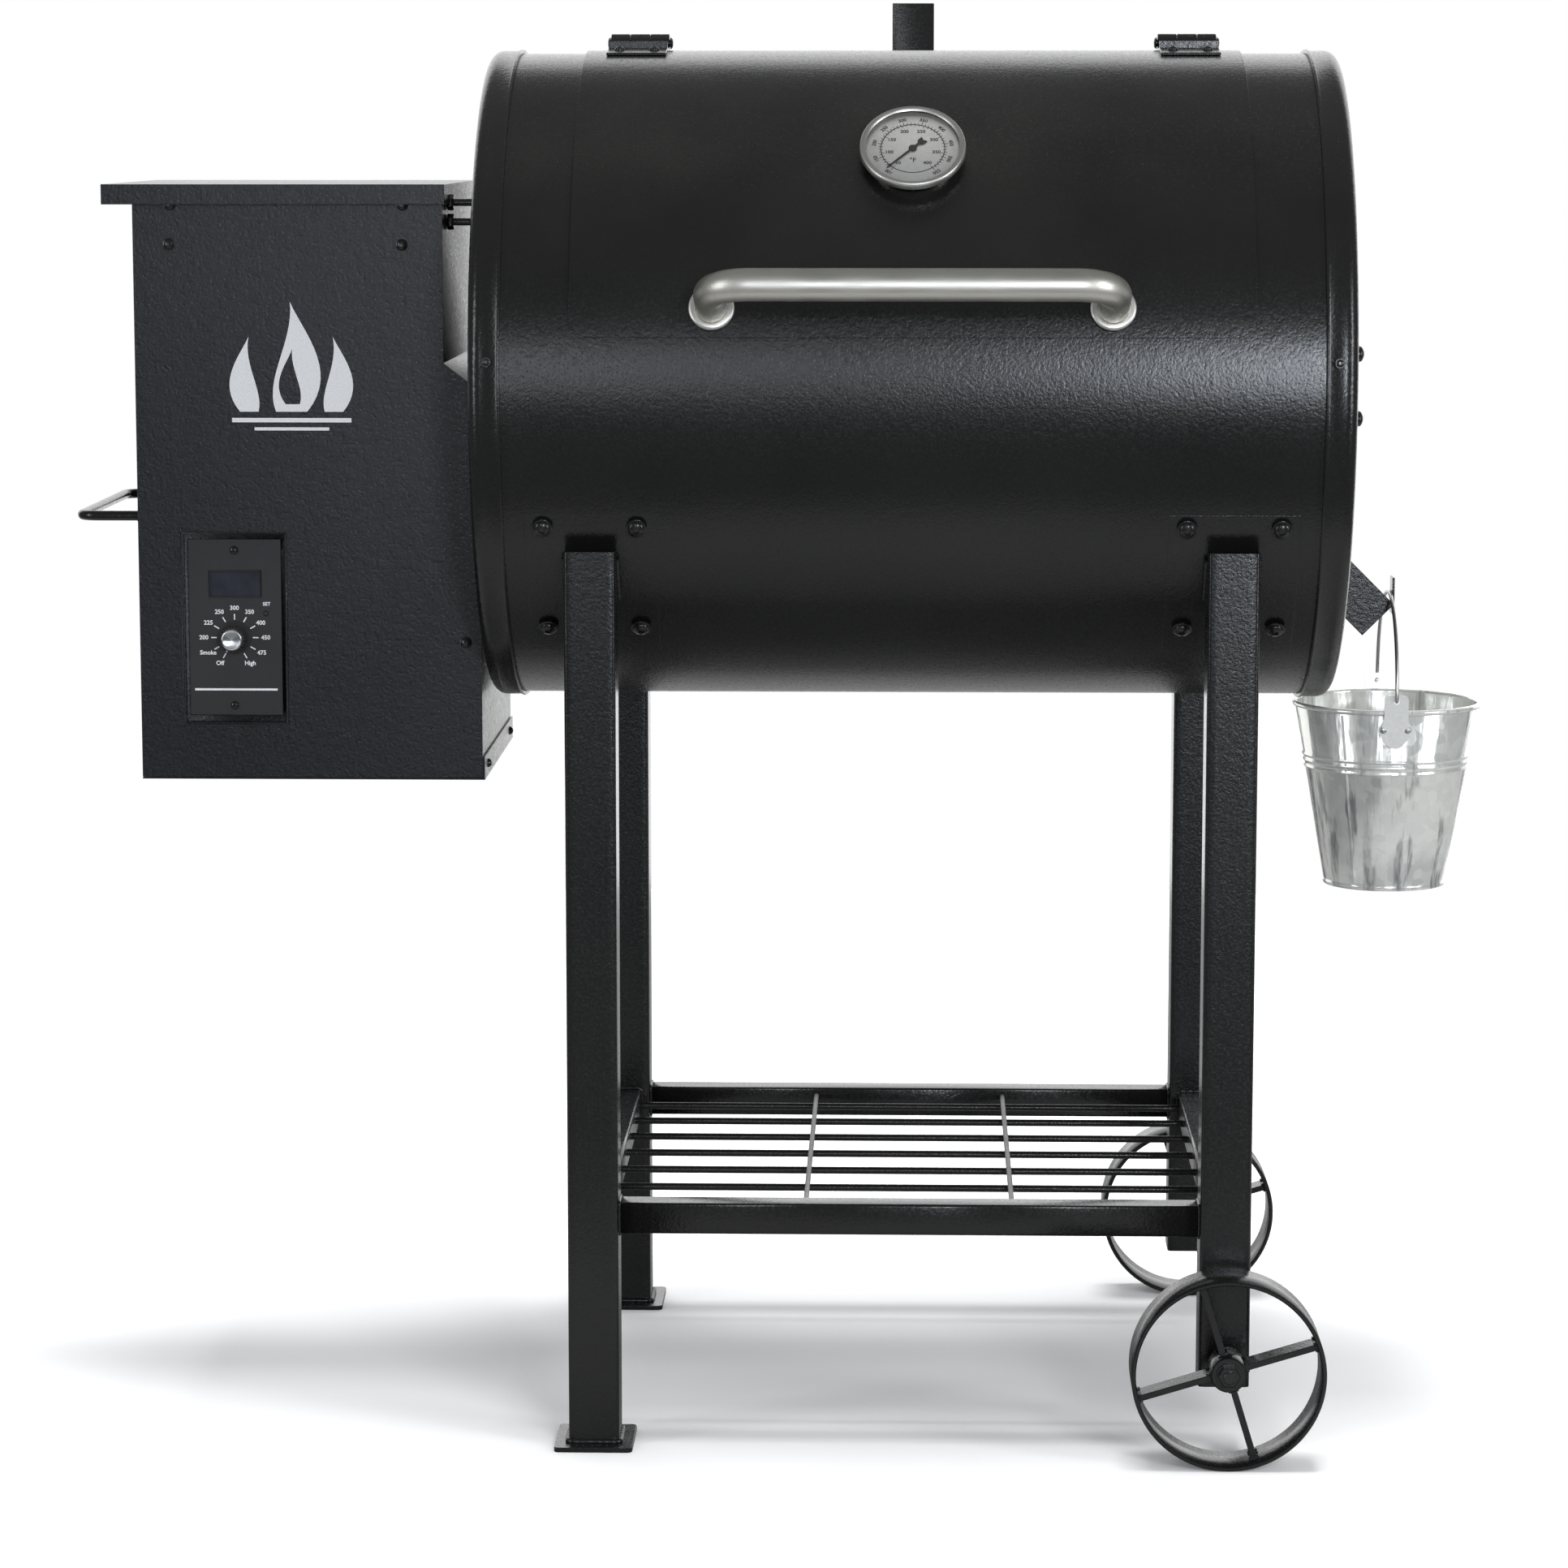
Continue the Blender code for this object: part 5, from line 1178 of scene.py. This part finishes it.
BARE = dull_steel("bare_steel", (0.20, 0.195, 0.19), (0.34, 0.33, 0.32), (0.10, 0.055, 0.035))
HEATED = dull_steel("heated_steel", (0.07, 0.062, 0.056), (0.16, 0.145, 0.13), (0.12, 0.06, 0.035))
softened("hopper_bin", BARE, "frame", "bare_steel", 0.0003)
softened("auger_tube", BARE, "frame", "bare_steel", 0.0003)
softened("auger_motor", ZINC, "frame", "zinc", 0.0030, 3)
TURNS, PER_TURN, PITCH = 7, 36, 0.070
tube_low, tube_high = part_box("auger_tube")
AUGER_Z = (tube_low.z + tube_high.z) / 2
screw_low, screw_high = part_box("auger_screw")
auger = run_tube(bmesh.new(), [Vector((screw_low.x, 0, AUGER_Z)), Vector((screw_high.x, 0, AUGER_Z))],
                 0.006, 24)
flight = []
for i in range(TURNS * PER_TURN + 1):
    angle = 2 * pi * i / PER_TURN
    x = screw_low.x + 0.022 + PITCH * i / PER_TURN
    flight.append([auger.verts.new((x + dx, r * sin(angle), AUGER_Z + r * cos(angle)))
                   for r, dx in ((0.0050, -0.0013), (0.0195, -0.0010), (0.0195, 0.0010), (0.0050, 0.0013))])
for a, b in zip(flight, flight[1:]):
    join_rings(auger, a, b)
auger.faces.new(flight[0])
auger.faces.new(flight[-1])
finish_piece("auger_flight", auger, BARE, "auger", "bare_steel", ["auger_screw"], crease=50)


# ==== Fan =========================================================================================
# A square axial fan in the hopper's floor blows air to the fire. Its seven blades are twisted, and
# widen towards their tips.
softened("fan_housing", BLACK_PLASTIC, "frame", "black_plastic", 0.0008)
FAN = Vector(joint("fan_turn")["pos_m"])
fan_hub = [(0, -0.008), (0.0130, -0.008), (0.0134, -0.0074), (0.0134, 0.0066), (0.0120, 0.008), (0, 0.008)]
fan = lathe(bmesh.new(), fan_hub, FAN, (0, 0, 1), 36)
for i in range(7):
    rings = []
    for k in range(6):
        reach = 0.0125 + 0.0220 * k / 5
        lean = radians(58 - 5 * k)
        half_chord = 0.0062 + 0.0006 * k
        swing = 2 * pi * i / 7 + 0.05 * k
        along = Vector((cos(swing), sin(swing), 0))
        across = Vector((-sin(swing), cos(swing), 0))
        middle = FAN + along * reach
        chord = across * cos(lean) + Vector((0, 0, 1)) * sin(lean)
        skin = chord.cross(along) * 0.0006
        rings.append([fan.verts.new(middle + chord * half_chord * s + skin * t)
                      for s, t in ((-1, -1), (0, -1.6), (1, -1), (1, 1), (0, 0.4), (-1, 1))])
    for a, b in zip(rings, rings[1:]):
        join_rings(fan, a, b)
    fan.faces.new(rings[0])
    fan.faces.new(rings[-1])
finish_piece("fan_blades", fan, BLACK_PLASTIC, "fan", "black_plastic", ["fan_impeller"], crease=40)


# ==== Fire pot, deflector and drip tray ===========================================================
# A cast pot stands under the tube's end with a ring of air holes and an igniter rod. A folded plate
# spreads its heat, and a sloping tray above it drains to the spout.
pot_low, pot_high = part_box("burn_pot")
pot_mid = (pot_low + pot_high) / 2
pot = [(0, pot_low.z), (0.0440, pot_low.z), (0.0450, pot_low.z + 0.001), (0.0450, pot_high.z - 0.003),
       (0.0475, pot_high.z - 0.0025), (0.0475, pot_high.z), (0.0425, pot_high.z),
       (0.0425, pot_low.z + 0.0025), (0, pot_low.z + 0.0025)]
finish_piece("fire_pot", lathe(bmesh.new(), pot, (pot_mid.x, pot_mid.y, 0), (0, 0, 1), 64), HEATED, "frame",
             "bare_steel", ["burn_pot"], crease=40)
# No holes are cut: black ink discs on the pot's wall are painted shade for the dark inside each air hole.
hole_shade_discs = bmesh.new()
shade_disc_profile = [(0, 0), (0.0026, 0), (0.0029, 0.0003), (0.0022, 0.0005), (0, 0.0002)]
for i in range(20):
    angle = 2 * pi * i / 20
    out = Vector((cos(angle), sin(angle), 0))
    for height in (0.012, 0.022):
        spot = Vector((pot_mid.x, pot_mid.y, pot_high.z - height)) + out * 0.0449
        lathe(hole_shade_discs, shade_disc_profile, spot, out, 12)
finish_piece("hole_shade_discs", hole_shade_discs, DIAL_INK, "frame", "bare_steel", crease=50)
igniter_low, igniter_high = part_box("igniter_rod")
rod_mid = (igniter_low + igniter_high) / 2
rod = [(0, igniter_low.x), (0.0044, igniter_low.x), (0.0050, igniter_low.x + 0.0008),
       (0.0050, igniter_high.x - 0.0015), (0.0036, igniter_high.x), (0, igniter_high.x)]
hot_rod = lathe(bmesh.new(), rod, (0, rod_mid.y, rod_mid.z), (1, 0, 0), 28)
finish_piece("hot_rod", hot_rod, ZINC, "frame", "zinc", ["igniter_rod"], crease=40)
for node, width in (("heat_deflector", 0.0004), ("drip_tray", 0.0004), ("grate_ledge_front", 0.0003),
                    ("grate_ledge_rear", 0.0003)):
    softened(node, HEATED, "frame", "bare_steel", width)


# ==== Cooking grates ==============================================================================
# Two grates of round bar in a heavier frame, coated in black porcelain enamel, resting on ledges
# along the barrel's walls.
ENAMEL = powder_coat("porcelain_enamel", (0.010, 0.010, 0.010), (0.022, 0.021, 0.020), (0.12, 0.26),
                     160.0, 0.25)
FRAME_R, FRAME_CORNER, BAR_GAPS = 0.003, 0.012, 19
for word in ("left", "right"):
    grate_low, grate_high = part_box("cooking_grate_" + word)
    z = (grate_low.z + grate_high.z) / 2
    x0, x1 = grate_low.x + FRAME_R, grate_high.x - FRAME_R
    y0, y1 = grate_low.y + FRAME_R, grate_high.y - FRAME_R
    bars = bmesh.new()
    near_x, far_x, near_y, far_y = x0 + FRAME_CORNER, x1 - FRAME_CORNER, y0 + FRAME_CORNER, y1 - FRAME_CORNER
    loop = []
    for start, x, y in ((0, far_x, far_y), (90, near_x, far_y), (180, near_x, near_y),
                        (270, far_x, near_y)):
        loop += arc((x, y), FRAME_CORNER, start, start + 90, 6)
    run_tube(bars, [Vector((x, y, z)) for x, y in loop + loop[:1]], FRAME_R, 12, False)
    for y in (-0.150, 0.0, 0.150):
        run_tube(bars, [Vector((x0, y, z - 0.0015)), Vector((x1, y, z - 0.0015))], 0.0026, 12)
    for i in range(1, BAR_GAPS):
        x = x0 + (x1 - x0) * i / BAR_GAPS
        run_tube(bars, [Vector((x, y0, z + 0.0008)), Vector((x, y1, z + 0.0008))], 0.0022, 10)
    finish_piece("grate_bars_" + word, bars, ENAMEL, "frame", "grate_enamel", ["cooking_grate_" + word],
                 crease=60)


# ==== Barrel bolts ================================================================================
# Two bolts through the right end cap hold the grate ledge inside, and small screws pin each cap's
# rim to the shell.
cap_bolts = bmesh.new()
for z in (0.8660, 0.8165):
    dome(cap_bolts, (MID + CAP_FACE, -0.2385, z), (1, 0, 0), 0.0060, 0.0040)
for side in (-1, 1):
    for angle in (5, 125, 235):
        dome(cap_bolts, round_barrel(CAP_R - 0.0002, angle, side * (CAP_RIM + 0.010)), outward(angle),
             0.0032, 0.0020, 16)
finish_piece("cap_bolts", cap_bolts, BOLT_BLACK, "frame", "black_coat", crease=50)
